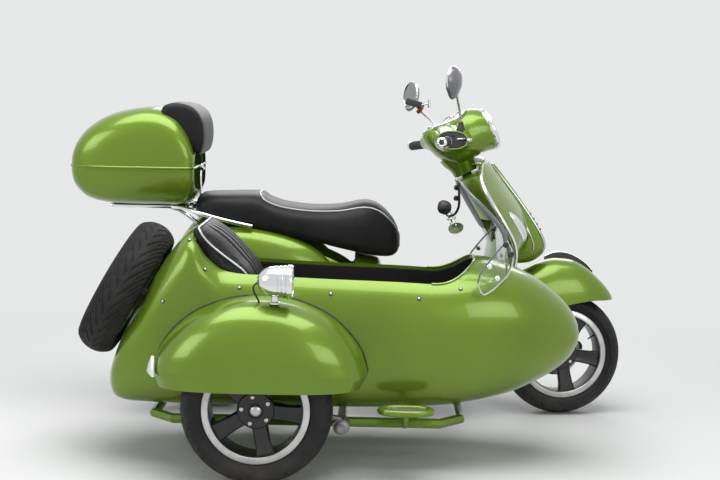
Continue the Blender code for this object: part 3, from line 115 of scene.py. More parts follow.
def pressed(tree, shader, pattern, output, strength, depth):
    """Presses a texture into a surface as a bump that stays with the object."""
    place = node(tree, "TexCoord")
    bump = node(tree, "Bump", Strength=strength, Distance=depth)
    wires(tree, (place, "Object", pattern, "Vector"), (pattern, output, bump, "Height"),
        (bump, "Normal", shader, "Normal"))


def finish(name, colour, roughness, metallic=0.0, dust=(0.35, 0.4), **sockets):
    """A material whose colour and roughness pass through the street's dust; returns it and its shader."""
    made, tree, shader = blank(name)
    dusty = node(tree, "Group", node_tree=dusting, Colour=(*colour, 1.0), Roughness=roughness,
        Reach=dust[0], Amount=dust[1])
    wires(tree, (dusty, "Colour", shader, "Base Color"), (dusty, "Roughness", shader, "Roughness"))
    shader.inputs["Metallic"].default_value = metallic
    for socket, value in sockets.items():
        shader.inputs[socket.replace("_", " ")].default_value = value
    return made, tree, shader, dusty


green_paint, tree, shader, dusty = finish(
    "green_paint", GREEN, 0.3, 0.45, (0.3, 0.25), Coat_Weight=0.6, Coat_Roughness=0.035,
    Specular_IOR_Level=0.2,
)
place = node(tree, "TexCoord")
flakes = node(tree, "TexVoronoi", Scale=1400.0)
drift = node(tree, "TexNoise", Scale=3.0, Detail=2.0)
spark = node(tree, "MapRange", To_Min=0.0, To_Max=0.42)
tone = node(tree, "Mix", data_type="RGBA", A=(*GREEN, 1.0), B=(0.235, 0.4, 0.035, 1.0))
cloud = node(tree, "Mix", data_type="RGBA", B=(*GREEN_DEEP, 1.0))
slow = node(tree, "MapRange", From_Min=0.45, From_Max=0.8, To_Max=0.22)
peel = node(tree, "TexNoise", Scale=160.0, Detail=1.0)
skin_bump = node(tree, "Bump", Strength=0.02, Distance=0.0004)
for texture in (flakes, drift, peel):
    wires(tree, (place, "Object", texture, "Vector"))
wires(
    tree, (flakes, "Color", spark, "Value"), (spark, "Result", tone, "Factor"),
    (drift, "Fac", slow, "Value"), (slow, "Result", cloud, "Factor"), (tone, "Result", cloud, "A"),
    (cloud, "Result", dusty, "Colour"), (peel, "Fac", skin_bump, "Height"),
    (skin_bump, "Normal", shader, "Coat Normal"),
)


def power(value, exponent):
    """A signed power, for outlines between an oval and a box."""
    return copysign(abs(value) ** exponent, value)


def ring_of(bm, place_point, count):
    """A closed loop of edges made from a circle, each point placed by its turn."""
    made = bmesh.ops.create_circle(bm, cap_ends=False, segments=count, radius=1.0)["verts"]
    for k, vert in enumerate(made):
        vert.co = place_point(tau * (k + 0.5) / count)
    return list({edge for vert in made for edge in vert.link_edges})


def cross_ring(bm, row, middle_y=0.0, count=24, inset=0.0):
    """A loop across the vehicle from x, half width, low z, high z and squareness."""
    x, half, low_z, high_z, square = row
    middle_z = (low_z + high_z) / 2

    def point(turn):
        return Vector((
            x,
            middle_y + (half - inset) * power(cos(turn), 2 / square),
            middle_z + ((high_z - low_z) / 2 - inset) * power(sin(turn), 2 / square),
        ))

    return ring_of(bm, point, count)


def bridge(bm, loops, closed_ends=True):
    """Skins a row of loops, one after the other, and closes the two ends."""
    for near, far in zip(loops, loops[1:]):
        bmesh.ops.bridge_loops(bm, edges=near + far)
    if closed_ends:
        for loop in (loops[0], loops[-1]):
            bmesh.ops.contextual_create(bm, geom=loop)
    bmesh.ops.recalc_face_normals(bm, faces=bm.faces)
    return bm


def skinned(outlines):
    """A shell over a row of closed outlines, each a list of points."""
    bm = bmesh.new()
    loops = []
    for outline in outlines:
        share = len(outline) / tau
        loops.append(ring_of(bm, lambda turn, o=outline, s=share: o[round(turn * s - 0.5)],
            len(outline)))
    return bridge(bm, loops)


def flipped(points, middle_y=0.0):
    """The same points on the other side of a middle line."""
    return [Vector((p.x, 2 * middle_y - p.y, p.z)) for p in points]


def loft(rows, middle_y=0.0, count=24, inset=0.0, closed_ends=True):
    """A shell over sections across the vehicle."""
    bm = bmesh.new()
    return bridge(bm, [cross_ring(bm, row, middle_y, count, inset) for row in rows], closed_ends)


def mesh_of(bm, name="working"):
    """A mesh made of a bmesh, which is freed."""
    mesh = bpy.data.meshes.new(name)
    bm.to_mesh(mesh)
    bm.free()
    return mesh


def put(name, data):
    """A new object in the scene."""
    made = bpy.data.objects.new(name, data)
    bpy.context.collection.objects.link(made)
    return made


def modified(holder):
    """What an object's modifiers make of it, as a mesh."""
    graph = bpy.context.evaluated_depsgraph_get()
    return bpy.data.meshes.new_from_object(holder.evaluated_get(graph))


def subdivided(bm, levels):
    """The same shell as a smooth, finer bmesh."""
    holder = put("finer", mesh_of(bm))
    step = holder.modifiers.new("smooth", "SUBSURF")
    step.levels = levels
    step.render_levels = levels
    made = bmesh.new()
    made.from_mesh(modified(holder))
    bpy.data.objects.remove(holder)
    return made


def piece(name, bm, material, body="scooter", slot="", replaces=(), where=VEHICLE, sharp=38.0):
    """Puts a finished mesh in the shared frame, smooth but for its sharp edges, and lets it ride.

    The slot is not used.
    """
    slot = slot or material.name.partition(".")[0]
    bm.transform(where)
    mesh = mesh_of(bm, name)
    mesh.materials.append(material)
    mesh.shade_smooth()
    mesh.set_sharp_from_angle(angle=radians(sharp))
    made = put(name, mesh)
    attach(made, body)
    if replaces:
        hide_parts(*replaces)
    return made


def cut_by(bm, cutters, operation="DIFFERENCE"):
    """The bmesh with each cutter's bmesh taken from it."""
    holders = [put("cutting", mesh_of(source)) for source in [bm, *cutters]]
    for cutter in holders[1:]:
        step = holders[0].modifiers.new("cut", "BOOLEAN")
        step.operation = operation
        step.object = cutter
    made = bmesh.new()
    made.from_mesh(modified(holders[0]))
    for holder in holders:
        bpy.data.objects.remove(holder)
    return made


def bar(points, radius, sides=12, smooth=0):
    """A round bar swept along points, its corners rounded by so many passes."""
    path = [Vector(point) for point in points]
    for _ in range(smooth):
        finer = [path[0]]
        for a, b in zip(path, path[1:]):
            finer += [a.lerp(b, 0.25), a.lerp(b, 0.75)]
        path = finer + [path[-1]]
    bm = bmesh.new()
    loops = []
    side = None
    for i, point in enumerate(path):
        ahead = (path[min(i + 1, len(path) - 1)] - path[max(i - 1, 0)]).normalized()
        side = ahead.orthogonal().normalized() if side is None else (side - ahead
            * side.dot(ahead)).normalized()
        up = ahead.cross(side)
        size = radius[i * len(radius) // len(path)] if isinstance(radius, (list, tuple)) else radius
        loops.append(ring_of(bm, lambda t, p=point, s=side, u=up,
            r=size: p + (s * cos(t) + u * sin(t)) * r, sides))
    return bridge(bm, loops)


def softened(bm, edges, offset, segments=2):
    """Rounds edges of a bmesh."""
    bmesh.ops.bevel(
        bm, geom=edges, offset=offset, segments=segments, profile=0.5, affect="EDGES", material=-1,
    )
    return bm


def extruded(corners, way):
    """A flat outline drawn out along a way."""
    bm = bmesh.new()
    face = bm.faces.new([bm.verts.new(corner) for corner in corners])
    made = bmesh.ops.extrude_face_region(bm, geom=[face])["geom"]
    bmesh.ops.translate(bm, vec=way, verts=[v for v in made if isinstance(v, bmesh.types.BMVert)])
    bmesh.ops.recalc_face_normals(bm, faces=bm.faces)
    return bm


def box(low, high, bevel=0.0, segments=3):
    """A block between two corners with rounded edges."""
    bm = bmesh.new()
    bmesh.ops.create_cube(bm, size=1.0)
    bmesh.ops.scale(bm, vec=Vector(high) - Vector(low), verts=bm.verts)
    bmesh.ops.translate(bm, vec=(Vector(high) + Vector(low)) / 2, verts=bm.verts)
    return softened(bm, bm.edges[:], bevel, segments) if bevel else bm


def lathe(profile, axis_from, along, steps=32, closed=False):
    """Spins (reach, radius) points about the line from a point along a direction."""
    along = Vector(along).normalized()
    side = along.orthogonal().normalized()
    start = Vector(axis_from)
    bm = bmesh.new()
    verts = [bm.verts.new(start + along * reach + side * radius) for reach, radius in profile]
    edges = [bm.edges.new(pair) for pair in zip(verts, verts[1:])]
    if closed:
        edges.append(bm.edges.new((verts[-1], verts[0])))
    bmesh.ops.spin(
        bm, geom=verts + edges, cent=start, axis=along, dvec=(0, 0, 0), angle=tau,
        steps=steps, use_merge=True, use_duplicate=False,
    )
    bmesh.ops.remove_doubles(bm, verts=bm.verts, dist=1e-5)
    bmesh.ops.recalc_face_normals(bm, faces=bm.faces)
    return bm


def turned(profile, *placing, **more):
    """Spins a profile of (reach, radius) points in millimetres."""
    return lathe([(reach / 1000, radius / 1000) for reach, radius in profile], *placing, **more)


def drum(radius, length, *placing):
    """A plain turned disc or post."""
    return lathe(((0, 0), (0, radius), (length, radius), (length, 0)), *placing)


def joined(parts):
    """One bmesh from several."""
    whole = bmesh.new()
    for part in parts:
        mesh = mesh_of(part)
        whole.from_mesh(mesh)
        bpy.data.meshes.remove(mesh)
    return whole


def metres(rows, plain=0):
    """A table kept in millimetres, but for so many plain numbers at each row's end."""
    return [(*[value / 1000 for value in row[:len(row) - plain]], *row[len(row) - plain:])
        for row in rows]


BODY_ROWS = metres((
    # x, half width, low z, high z, squareness
    (-188, 50, 505, 565, 2.2), (-165, 95, 470, 600, 2.4), (-120, 132, 420, 655, 2.7),
    (-70, 150, 390, 735, 2.9), (-30, 156, 370, 757, 3.1), (68, 160, 350, 738, 3.3),
    (182, 160, 340, 717, 3.3), (352, 158, 330, 682, 3.3), (504, 145, 320, 640, 3.2),
    (590, 125, 310, 614, 3.0), (640, 105, 300, 604, 2.8), (668, 80, 300, 596, 2.5),
), 1)
body_shell = subdivided(loft(BODY_ROWS), 2)
arch = turned(((-92, 0), (-92, 285), (92, 285), (92, 0)), (0, 0, REAR_RADIUS), (0, 1, 0), 48)
bay = box((-0.1, -0.3, 0.2), (0.52, 0.3, 0.44))
helmet_box = box((0.28, -0.125, 0.47), (0.56, 0.125, 0.9), 0.02)
piece(
    "rear_body_shell", cut_by(body_shell, [helmet_box, arch, bay]), green_paint, replaces=["rear_body"],
)

# Side cowls: two bulging steel covers, left over the transmission and right over the spare space,
# that meet the body along a thin shut line.
COWL_ROWS = metres((
    # x, half width, low z, high z, squareness
    (-130, 20, 470, 560, 2.0), (-100, 50, 420, 620, 2.2), (-30, 78, 372, 700, 2.5),
    (68, 90, 345, 728, 2.7), (182, 92, 340, 722, 2.7), (302, 86, 345, 700, 2.6),
    (395, 70, 362, 662, 2.4), (460, 48, 400, 610, 2.2), (490, 20, 450, 560, 2.0),
), 1)
for name, side in (("left", 1), ("right", -1)):
    cowl = subdivided(loft(COWL_ROWS, side * 0.13), 2)
    inner = box((-0.3, min(side * 0.135, -side * 0.2), 0.1), (0.7, max(side * 0.135, -side * 0.2), 1.0))
    cowl = cut_by(cowl, [inner])
    piece("cowl_cover_" + name, cowl, green_paint, replaces=["cowl_" + name])

# Floor board: the step-through floor, black rubbery plastic with ribs that keep a shoe from sliding,
# screwed to the spine that runs up its middle.
grain, g_in, g_out = effect(
    "moulded_grain", [("Scale", "Float"), ("Coarse", "Float")],
    [("Height", "Float"), ("Wear", "Float")],
)
place = node(grain, "TexCoord")
cells = node(grain, "TexVoronoi", feature="SMOOTH_F1")
fuzz = node(grain, "TexNoise", Detail=3.0)
rub = node(grain, "TexNoise", Scale=14.0, Detail=6.0, Roughness=0.65)
mixed = node(grain, "Mix", data_type="FLOAT")
spread = node(grain, "MapRange", From_Min=0.4, From_Max=0.7)
for texture in (cells, fuzz, rub):
    wires(grain, (place, "Object", texture, "Vector"))
wires(
    grain, (g_in, "Scale", cells, "Scale"), (g_in, "Scale", fuzz, "Scale"),
    (g_in, "Coarse", mixed, "Factor"), (fuzz, "Fac", mixed, "A"), (cells, "Distance", mixed, "B"),
    (mixed, "Result", g_out, "Height"), (rub, "Fac", spread, "Value"),
    (spread, "Result", g_out, "Wear"),
)


def grained(name, colour, worn, roughness, scale, coarse, depth, metallic=0.0, dust=(0.35, 0.4),
        **sockets):
    """A finish with a moulded or sewn grain and a tone that shifts where it is rubbed."""
    made, tree, shader, dusty = finish(name, colour, roughness, metallic, dust, **sockets)
    pattern = node(tree, "Group", node_tree=grain, Scale=scale, Coarse=coarse)
    shade = node(tree, "Mix", data_type="RGBA", A=(*colour, 1.0), B=(*worn, 1.0))
    bump = node(tree, "Bump", Strength=1.0, Distance=depth)
    wires(
        tree, (pattern, "Wear", shade, "Factor"), (shade, "Result", dusty, "Colour"),
        (pattern, "Height", bump, "Height"), (bump, "Normal", shader, "Normal"),
    )
    return made


black_plastic = grained(
    "black_plastic", (0.014, 0.014, 0.015), (0.03, 0.03, 0.031), 0.42, 700.0, 0.4, 0.00012,
)
floor_ribs = [box((0.62, y - 0.006, 0.283), (1.0, y + 0.006, 0.289), 0.002, 2) for y in (
    -0.178, -0.156, -0.134, -0.112, 0.112, 0.134, 0.156, 0.178)]
piece("floor_ribs", joined(floor_ribs), black_plastic)
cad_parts["floor_board"].data.materials[0] = black_plastic

# Leg shield: a pressed steel apron that leans forward beside the steering column and curves back to
# the floor, bowed across, with its edge folded over and trimmed in polished metal.
SHIELD_ROWS = metres((
    # z, x at its middle, x at its edge, half width
    (226, 1085, 1052, 150), (290, 1100, 1070, 190), (400, 1112, 1098, 225), (500, 1128, 1122, 255),
    (580, 1150, 1148, 278), (640, 1182, 1161, 292), (700, 1226, 1152, 304), (760, 1216, 1121, 310),
    (820, 1188, 1084, 308), (880, 1142, 1048, 290), (925, 1110, 1030, 262), (960, 1086, 1033, 222),
    (984, 1068, 1040, 178),
))
SHIELD_DEPTH = 0.014
SHIELD_TOP_Z = 0.984


def eased(rows, places):
    """Rows between the given ones, on smooth curves through them."""
    made = []
    for place_x in places:
        i = max(0, min(len(rows) - 2,
            next((k for k in range(len(rows) - 1) if rows[k + 1][0] >= place_x), len(rows) - 2)))
        a, b = rows[i], rows[i + 1]
        before, after = rows[max(i - 1, 0)], rows[min(i + 2, len(rows) - 1)]
        gap = b[0] - a[0]
        t = (place_x - a[0]) / gap
        row = [place_x]
        for k in range(1, len(a)):
            start = (b[k] - before[k]) / (b[0] - before[0]) * gap
            end = (after[k] - a[k]) / (after[0] - a[0]) * gap
            row.append(
                (2 * t ** 3 - 3 * t * t + 1) * a[k] + (t ** 3 - 2 * t * t + t) * start
                + (3 * t * t - 2 * t ** 3) * b[k] + (t ** 3 - t * t) * end
            )
        made.append(tuple(row))
    return made


def stations(rows, per_gap):
    """Places along rows, so many to a gap."""
    made = [a[0] + (b[0] - a[0]) * k / per_gap for a, b in zip(rows, rows[1:]) for k in range(per_gap)]
    return made + [rows[-1][0]]


def shield_point(row, across, back=0.0):
    """A point on the shield's front, from -1 at its right edge to 1 at its left."""
    z, middle_x, edge_x, half = row
    return Vector((edge_x + (middle_x - edge_x) * (1 - across * across) - back, across * half, z))


def shield_at(z):
    """The shield's row at any height."""
    return eased(SHIELD_ROWS, [z])[0]


outlines = []
for z in stations(SHIELD_ROWS, 3):
    row = shield_at(z)
    places = [k / 14 - 1 for k in range(29)]
    outline = [shield_point(row, t) for t in places] + [shield_point(row, t, SHIELD_DEPTH)
        for t in reversed(places)]
    outlines.append(outline)
shield_skin = skinned(outlines)
folds = [e for e in shield_skin.edges if len(e.link_faces) == 2 and e.calc_face_angle() > 1.0]
softened(shield_skin, folds, 0.003)
NECK_Z = 0.9355
STEER_POINT = Vector((1.205, 0.0, 0.5))
STEER_AXIS = Vector((-sin(radians(27.0)), 0.0, cos(radians(27.0))))


def on_axis(z):
    """The point of the steering axis at a height."""
    return STEER_POINT + STEER_AXIS * ((z - STEER_POINT.z) / STEER_AXIS.z)


def column_hole(radius=0.0204):
    """What the steering column takes out of the panels round it."""
    return bar([on_axis(0.3), on_axis(1.2)], radius, 24)


piece("leg_shield_skin", cut_by(shield_skin, [column_hole()]), green_paint, replaces=["leg_shield"])

# Inner shield: the green panel behind the apron that closes round the steering column, with a level
# ledge square to the column, a black recess for the bag hook's catch and a black glove-box door.
INNER_ROWS = metres((
    # z, how far it lies behind the apron's edge line in its middle, share of the apron's half width
    (300, 50, 0.62), (400, 52, 0.7), (500, 60, 0.8), (580, 72, 0.88), (640, 92, 0.93),
    (700, 104, 0.95), (760, 108, 0.95), (820, 108, 0.95), (880, 104, 0.95), (925, 102, 0.95),
    (960, 104, 0.95), (1010, 120, 0.96),
), 1)


def inner_point(z, across, out=0.0):
    """A point on the inner shield's rear face, rounded across towards its edges."""
    _, depth, share = eased(INNER_ROWS, [z])[0]
    row = shield_at(min(z, SHIELD_TOP_Z))
    full = row[3] * share
    edge = shield_point(row, across * share, SHIELD_DEPTH + 0.0004)
    behind = depth * (1 - abs(across) ** 3.0) ** 0.75
    rear = min(edge.x, row[2] + 0.012) - behind
    return Vector((rear - out, across * full, z))


outlines = []
for z in stations(INNER_ROWS, 3):
    row = shield_at(min(z, SHIELD_TOP_Z))
    _, _, share = eased(INNER_ROWS, [z])[0]
    outline = [inner_point(z, k / 16 - 1) for k in range(33)]
    outline += [shield_point(row, share * (1 - k / 8), SHIELD_DEPTH + 0.0004)
        + Vector((0, 0, z - row[0])) for k in range(17)]
    outlines.append(outline)
inner_shield = skinned(outlines)
bmesh.ops.bisect_plane(
    inner_shield, geom=inner_shield.verts[:] + inner_shield.edges[:] + inner_shield.faces[:],
    plane_co=on_axis(NECK_Z) - STEER_AXIS * 0.007, plane_no=STEER_AXIS, clear_outer=True,
)
bmesh.ops.holes_fill(inner_shield,
    edges=[edge for edge in inner_shield.edges if len(edge.link_faces) == 1], sides=0)
bmesh.ops.recalc_face_normals(inner_shield, faces=inner_shield.faces)
tunnel = box((0.6, -0.066, 0.2), (1.11, 0.066, 0.3257), 0.004)
recess = box((1.02, -0.262, 0.7), (1.14, -0.15, 0.775), 0.012)
inner_shield = cut_by(inner_shield, [column_hole(0.0206), tunnel, recess])
piece("inner_shield_panel", inner_shield, green_paint, replaces=["knee_panel"])

chrome, tree, shader, dusty = finish("chrome", (0.78, 0.79, 0.8), 0.06, 1.0, (0.5, 0.18))
place = node(tree, "TexCoord")
smears = node(tree, "TexNoise", Scale=26.0, Detail=4.0)
ripple = node(tree, "Bump", Strength=0.05, Distance=0.0005)
haze = node(tree, "MapRange", To_Min=0.04, To_Max=0.14)
wires(
    tree, (place, "Object", smears, "Vector"), (smears, "Fac", haze, "Value"),
    (haze, "Result", dusty, "Roughness"), (smears, "Fac", ripple, "Height"),
    (ripple, "Normal", shader, "Normal"),
)

edge_path = [shield_point(shield_at(z), -1.0, 0.006) for z in stations(SHIELD_ROWS, 4)]
top_row = SHIELD_ROWS[-1]
trim_path = edge_path + [
    shield_point(top_row, -1 + 2 * k / 14, 0.006) + Vector((0, 0, 0.002)) for k in range(1, 14)
] + flipped(reversed(edge_path))
trim_sizes = [0.0078 - 0.0034 * min(1.0, max(0.0, (p.z - 0.9) / 0.06)) for p in trim_path]
piece("shield_beading", bar(trim_path, trim_sizes, 14), chrome)
outlines = []
for k in range(9):
    z = 0.735 + (0.905 - 0.735) * k / 8
    places = [n / 10 - 1 for n in range(21)]
    grow = 1 - 0.12 * abs(k / 4 - 1) ** 4
    outline = [inner_point(z, 0.58 * t * grow, 0.004 * (1 - t ** 6)) for t in places]
    outline += [inner_point(z, 0.58 * t * grow, -0.004) for t in reversed(places)]
    outlines.append(outline)
piece("glove_box_door", skinned(outlines), black_plastic)
piece("recess_liner", box((1.066, -0.2615, 0.7005), (1.072, -0.1505, 0.7745), 0.002), black_plastic)

# Nose cover: the steel centre strip of the shield, which narrows upwards to the headset and holds
# the horn's slots under a chrome blade.
NOSE_ROWS = metres((
    # z, front x, half width
    (589, 1236, 50), (600, 1258, 59), (615, 1280, 70), (632, 1294, 80), (650, 1302, 86),
    (667, 1303, 88), (700, 1291, 90), (750, 1262, 86), (833, 1204, 70), (900, 1152, 56),
    (950, 1112, 44), (975, 1092, 37),
))
outlines = []
for z, front_x, half in NOSE_ROWS:
    behind = shield_point(shield_at(z), 0.0, 0.004).x
    outline = [Vector((behind, -half, z)), Vector((behind, 0, z)), Vector((behind, half, z))]
    outline += [
        Vector((front_x - 0.075 * (1 - cos(t)), half * sin(t), z))
        for t in [pi / 2 * (1 - k / 5) for k in range(11)]
    ]
    outlines.append(outline)
nose = skinned(outlines)
softened(nose, [e for e in nose.edges if e.calc_face_angle(0) > 0.9], 0.005)
nose = subdivided(nose, 1)
piece("nose_skin", cut_by(nose, [column_hole()]), green_paint, replaces=["nose_cover"])
slots = []
for k in range(4):
    z = 0.722 + 0.02 * k
    front_x = 1.2795 - 0.66 * (z - 0.722)
    slots.append(bar([(front_x - 0.012, -0.034, z), (front_x, 0, z), (front_x - 0.012, 0.034, z)],
        0.0045, 10, 2))
piece("horn_slots", joined(slots), black_plastic)

# Blades along the nose's edges and the front signals, clear lenses screwed to the apron on each side
blades = []
for side in (-1, 1):
    for turn_at, radius, low_z in ((0.62, 0.0034, 0.64), (1.35, 0.0048, 0.65)):
        blade_path = []
        for k in range(15):
            z = low_z + (0.972 - low_z) * k / 14
            _, front_x, half = eased(NOSE_ROWS, [z])[0]
            row = shield_at(z)
            y = side * half * sin(turn_at)
            seat_x = shield_point(row, y / row[3], 0.004).x
            blade_path.append(Vector((max(seat_x, front_x - 0.075 * (1 - cos(turn_at))), y, z)))
        blades.append(bar(blade_path,
            [radius * 0.5, radius, radius, radius, radius, radius, radius * 0.5], 10))
piece("nose_blades", joined(blades), chrome)
clear_lens, tree, shader, dusty = finish(
    "clear_lens", (0.7, 0.72, 0.74), 0.12, 0.25, (0.5, 0.1), Coat_Weight=1.0, Coat_Roughness=0.03,
)
pressed(tree, shader, node(tree, "TexVoronoi", Scale=150.0), "Distance", 0.6, 0.001)
lenses = []
lens_beds = []
lens_screws = []
for side in (-1, 1):
    lens_path = []
    for k in range(11):
        z = 0.806 - 0.112 * k / 10
        row = shield_at(z)
        y = 0.24 - 0.045 * k / 10
        lens_path.append(shield_point(row, side * y / row[3], 0.004))
    sizes = [0.005, 0.0115, 0.015, 0.0175, 0.019, 0.0195, 0.0195, 0.019, 0.017, 0.0135, 0.006]
    lenses.append(bar(lens_path, sizes, 24))
    lens_beds.append(bar([p - Vector((0.0045, 0, 0)) for p in lens_path],
        [size + 0.002 for size in sizes], 24))
    screw_at = lens_path[9] + Vector((0.0125, 0, 0))
    lens_screws.append(turned(((-3, 0), (-3, 3.4), (1, 3), (1.8, 0)), screw_at, (0.93, 0, -0.3), 16))
piece("front_signal_lenses", joined(lenses), clear_lens)
piece("front_signal_beds", joined(lens_beds), chrome)
piece("front_signal_screws", joined(lens_screws), black_plastic)

# Dual seat: moulded foam under black grained vinyl, with a step between rider and passenger, a piped
# panel on top of the rider's part and a sewn skirt that closes over the body.
SEAT_ROWS = metres((
    # x, half width, low z, high z, squareness
    (-52, 85, 770, 812, 2.4), (-44, 112, 760, 832, 2.8), (-20, 134, 752, 842, 3.2),
    (68, 146, 735, 846, 3.6), (160, 152, 717, 849, 3.6), (196, 154, 711, 846, 3.5),
    (236, 157, 704, 825, 3.4), (290, 160, 694, 809, 3.3), (390, 158, 672, 799, 3.2),
    (500, 148, 644, 805, 3.1), (594, 126, 622, 823, 3.0), (650, 104, 612, 808, 2.9),
    (700, 78, 612, 760, 2.7), (722, 56, 626, 720, 2.5), (732, 30, 648, 690, 2.3),
), 1)
black_vinyl = grained(
    "black_vinyl", (0.008, 0.008, 0.009), (0.014, 0.014, 0.016), 0.46, 420.0, 0.75, 0.00022, 0.0,
    (0.9, 0.12),
    Specular_IOR_Level=0.2, Sheen_Weight=0.02, Sheen_Roughness=0.4,
)


def seat_point(row, turn, out=0.0):
    """A point on the seat's skin: nearly upright sides below, a crowned top above."""
    x, half, low_z, high_z, square = row
    waist = low_z + (high_z - low_z) * 0.42
    up = sin(turn)
    bow = 1.0 + 0.03 * cos(turn) ** 2 * (1 if up < 0 else 1 - up)
    width = (half + out) * bow * power(cos(turn), 2 / (square if up > 0 else 6.0))
    if up > 0:
        return Vector((x, width, waist + (high_z + out - waist) * power(up, 2 / square)))
    return Vector((x, width, waist + (waist - low_z) * power(up, 2 / 7.0)))


seat_rows = eased(SEAT_ROWS, stations(SEAT_ROWS, 4))
cushion = bmesh.new()
bridge(cushion, [ring_of(cushion, lambda t, r=row: seat_point(r, t), 48) for row in seat_rows])
body_top = loft(eased(BODY_ROWS, stations(BODY_ROWS, 2)), 0.0, 40, -0.0006)
cushion = cut_by(cushion, [body_top])
dual_seat = piece("dual_seat", cushion, black_vinyl, "seat", "vinyl", ["seat"], sharp=50.0)

silver_piping, tree, shader, dusty = finish("silver_piping", (0.62, 0.63, 0.65), 0.32, 0.55,
    (0.5, 0.15))
pressed(tree, shader, node(tree, "TexNoise", Scale=900.0, Detail=1.0), "Fac", 0.5, 0.0002)

piping_turn = radians(47)
right_edge = [seat_point(row, pi - piping_turn, 0.001) for row in seat_rows if 0.215 <= row[0] <= 0.722]
left_edge = flipped(right_edge)
over_step = []
for k in range(13):
    turn = pi - piping_turn + (2 * piping_turn - pi) * k / 12
    back_x = 0.215 - 0.024 * sin(pi * k / 12) ** 0.6
    over_step.append(seat_point(eased(SEAT_ROWS, [back_x])[0], turn, 0.001))
across_nose = [seat_point(seat_rows[-3], pi - piping_turn + (2 * piping_turn - pi) * k / 6, 0.001)
    for k in range(1, 6)]
loop = list(reversed(right_edge)) + over_step + left_edge[1:] + list(reversed(across_nose))
piece("seat_piping", bar(loop + [loop[0]], 0.0032, 8), silver_piping, "seat", "vinyl")

# Rear rack and grab rail: bent chromed tube under the case, with a rail that runs forward along each
# side of the passenger's seat.
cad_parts["rear_rack"].data.materials[0] = chrome
RACK_Z = 0.79
rack_parts = [box((-0.38, -0.1, RACK_Z - 0.006), (-0.085, 0.1, RACK_Z + 0.0062), 0.003, 2)]
for side in (-1, 1):
    rack_parts.append(bar([
        (-0.3, side * 0.07, RACK_Z), (-0.115, side * 0.092, RACK_Z), (-0.078, side * 0.14, 0.789),
        (-0.03, side * 0.168, 0.774), (0.08, side * 0.177, 0.747), (0.172, side * 0.175, 0.729)],
        0.0082, 16, 2))
    rack_parts.append(bar([(-0.15, side * 0.08, RACK_Z - 0.004), (-0.1, side * 0.08, 0.768),
        (-0.03, side * 0.08, 0.716)], 0.0075, 12, 1))
piece("rack_rails", joined(rack_parts), chrome, replaces=["rear_rack"])

# Rear case: a moulded two-part box in the outfit's green. The lid hinges at the front, laps the tray
# with a raised lip, and is held by a hasp of plated steel.
CASE_ROWS = metres((
    # x, half width, low z, high z, squareness
    (-522, 110, 895, 985, 2.6), (-514, 145, 872, 1012, 2.9), (-497, 172, 848, 1046, 3.2),
    (-456, 196, 817, 1092, 3.5), (-378, 210, 800, 1138, 3.8), (-281, 215, 797, 1163, 4.0),
    (-190, 215, 797, 1168, 4.0), (-120, 212, 797, 1142, 4.0), (-78, 206, 806, 1090, 3.8),
    (-58, 196, 826, 1046, 3.6), (-48, 178, 850, 1012, 3.4),
), 1)
SEAM_Z = 0.932
for name, body, above in (("case_tray_shell", "scooter", False), ("case_lid_shell", "case_lid", True)):
    shell = loft(eased(CASE_ROWS, stations(CASE_ROWS, 4)), 0.0, 48)
    hollow = loft(eased(CASE_ROWS, stations(CASE_ROWS, 3)), 0.0, 40, 0.005)
    from_z, to_z = (0.6, SEAM_Z) if above else (SEAM_Z - 0.0006, 1.4)
    away = box((-0.7, -0.4, from_z), (0.2, 0.4, to_z))
    shell = cut_by(shell, [hollow, away])
    node_name = "case_lid" if above else "case_tray"
    piece(name, shell, green_paint, body, "green_paint", [node_name])


def case_outline(z, out):
    """The case's level outline at a height, a little outside its skin."""
    rows = eased(CASE_ROWS, stations(CASE_ROWS, 3))
    near_side = []
    for x, half, low_z, high_z, square in rows:
        up = (z - (low_z + high_z) / 2) / ((high_z - low_z) / 2)
        if abs(up) < 1:
            near_side.append(Vector((x, -(half + out) * (1 - abs(up) ** square) ** (1 / square), z)))
    return near_side + flipped(reversed(near_side))


lip_loop = case_outline(SEAM_Z + 0.013, 0.0005)
lip_loop.append(lip_loop[0])
piece("case_lip", bar(lip_loop, 0.0048, 8), green_paint, "case_lid", "green_paint")
hinge_plate = joined([
    box((-0.049, -0.014, 0.846), (-0.042, 0.014, 0.926), 0.002, 2),
    bar([(-0.036, -0.012, 0.932), (-0.036, 0.012, 0.932)], 0.0058, 16),
    bar([(-0.046, -0.01, 0.848), (-0.043, -0.01, 0.824), (-0.043, 0.01, 0.824), (-0.046, 0.01, 0.848)],
        0.0032, 8, 1),
])
piece("case_hinge_plate", hinge_plate, chrome)
hinge_leaf = joined([
    box((-0.052, -0.026, 0.936), (-0.037, 0.026, 0.952), 0.004),
    bar([(-0.036, -0.025, 0.932), (-0.036, -0.0125, 0.932)], 0.0058, 16),
    bar([(-0.036, 0.0125, 0.932), (-0.036, 0.025, 0.932)], 0.0058, 16),
])
piece("case_hinge_leaf", hinge_leaf, chrome, "case_lid", "chrome")
piece(
    "rack_knob",
    turned(((0, 0), (0, 13), (4, 15), (18, 15), (22, 11), (22, 0)), (-0.075, 0, 0.776), (0, 0, 1), 24),
    chrome, "scooter", "chrome",
)

# Backrest: a thick foam pad under smooth vinyl that wraps the top front edge of the case's lid
PAD_OUTLINE = metres((
    # x, z
    (-182, 1150), (-168, 1181), (-112, 1190), (-53, 1174), (-18, 1131), (-10, 1062), (-20, 1003),
    (-40, 988), (-78, 1060), (-120, 1120),
))


def rounded(outline, passes=2):
    """A closed outline with its corners cut in turn."""
    path = [Vector((x, 0.0, z)) for x, z in outline]
    for _ in range(passes):
        path = [a.lerp(b, t) for a, b in zip(path, path[1:] + path[:1]) for t in (0.25, 0.75)]
    return path


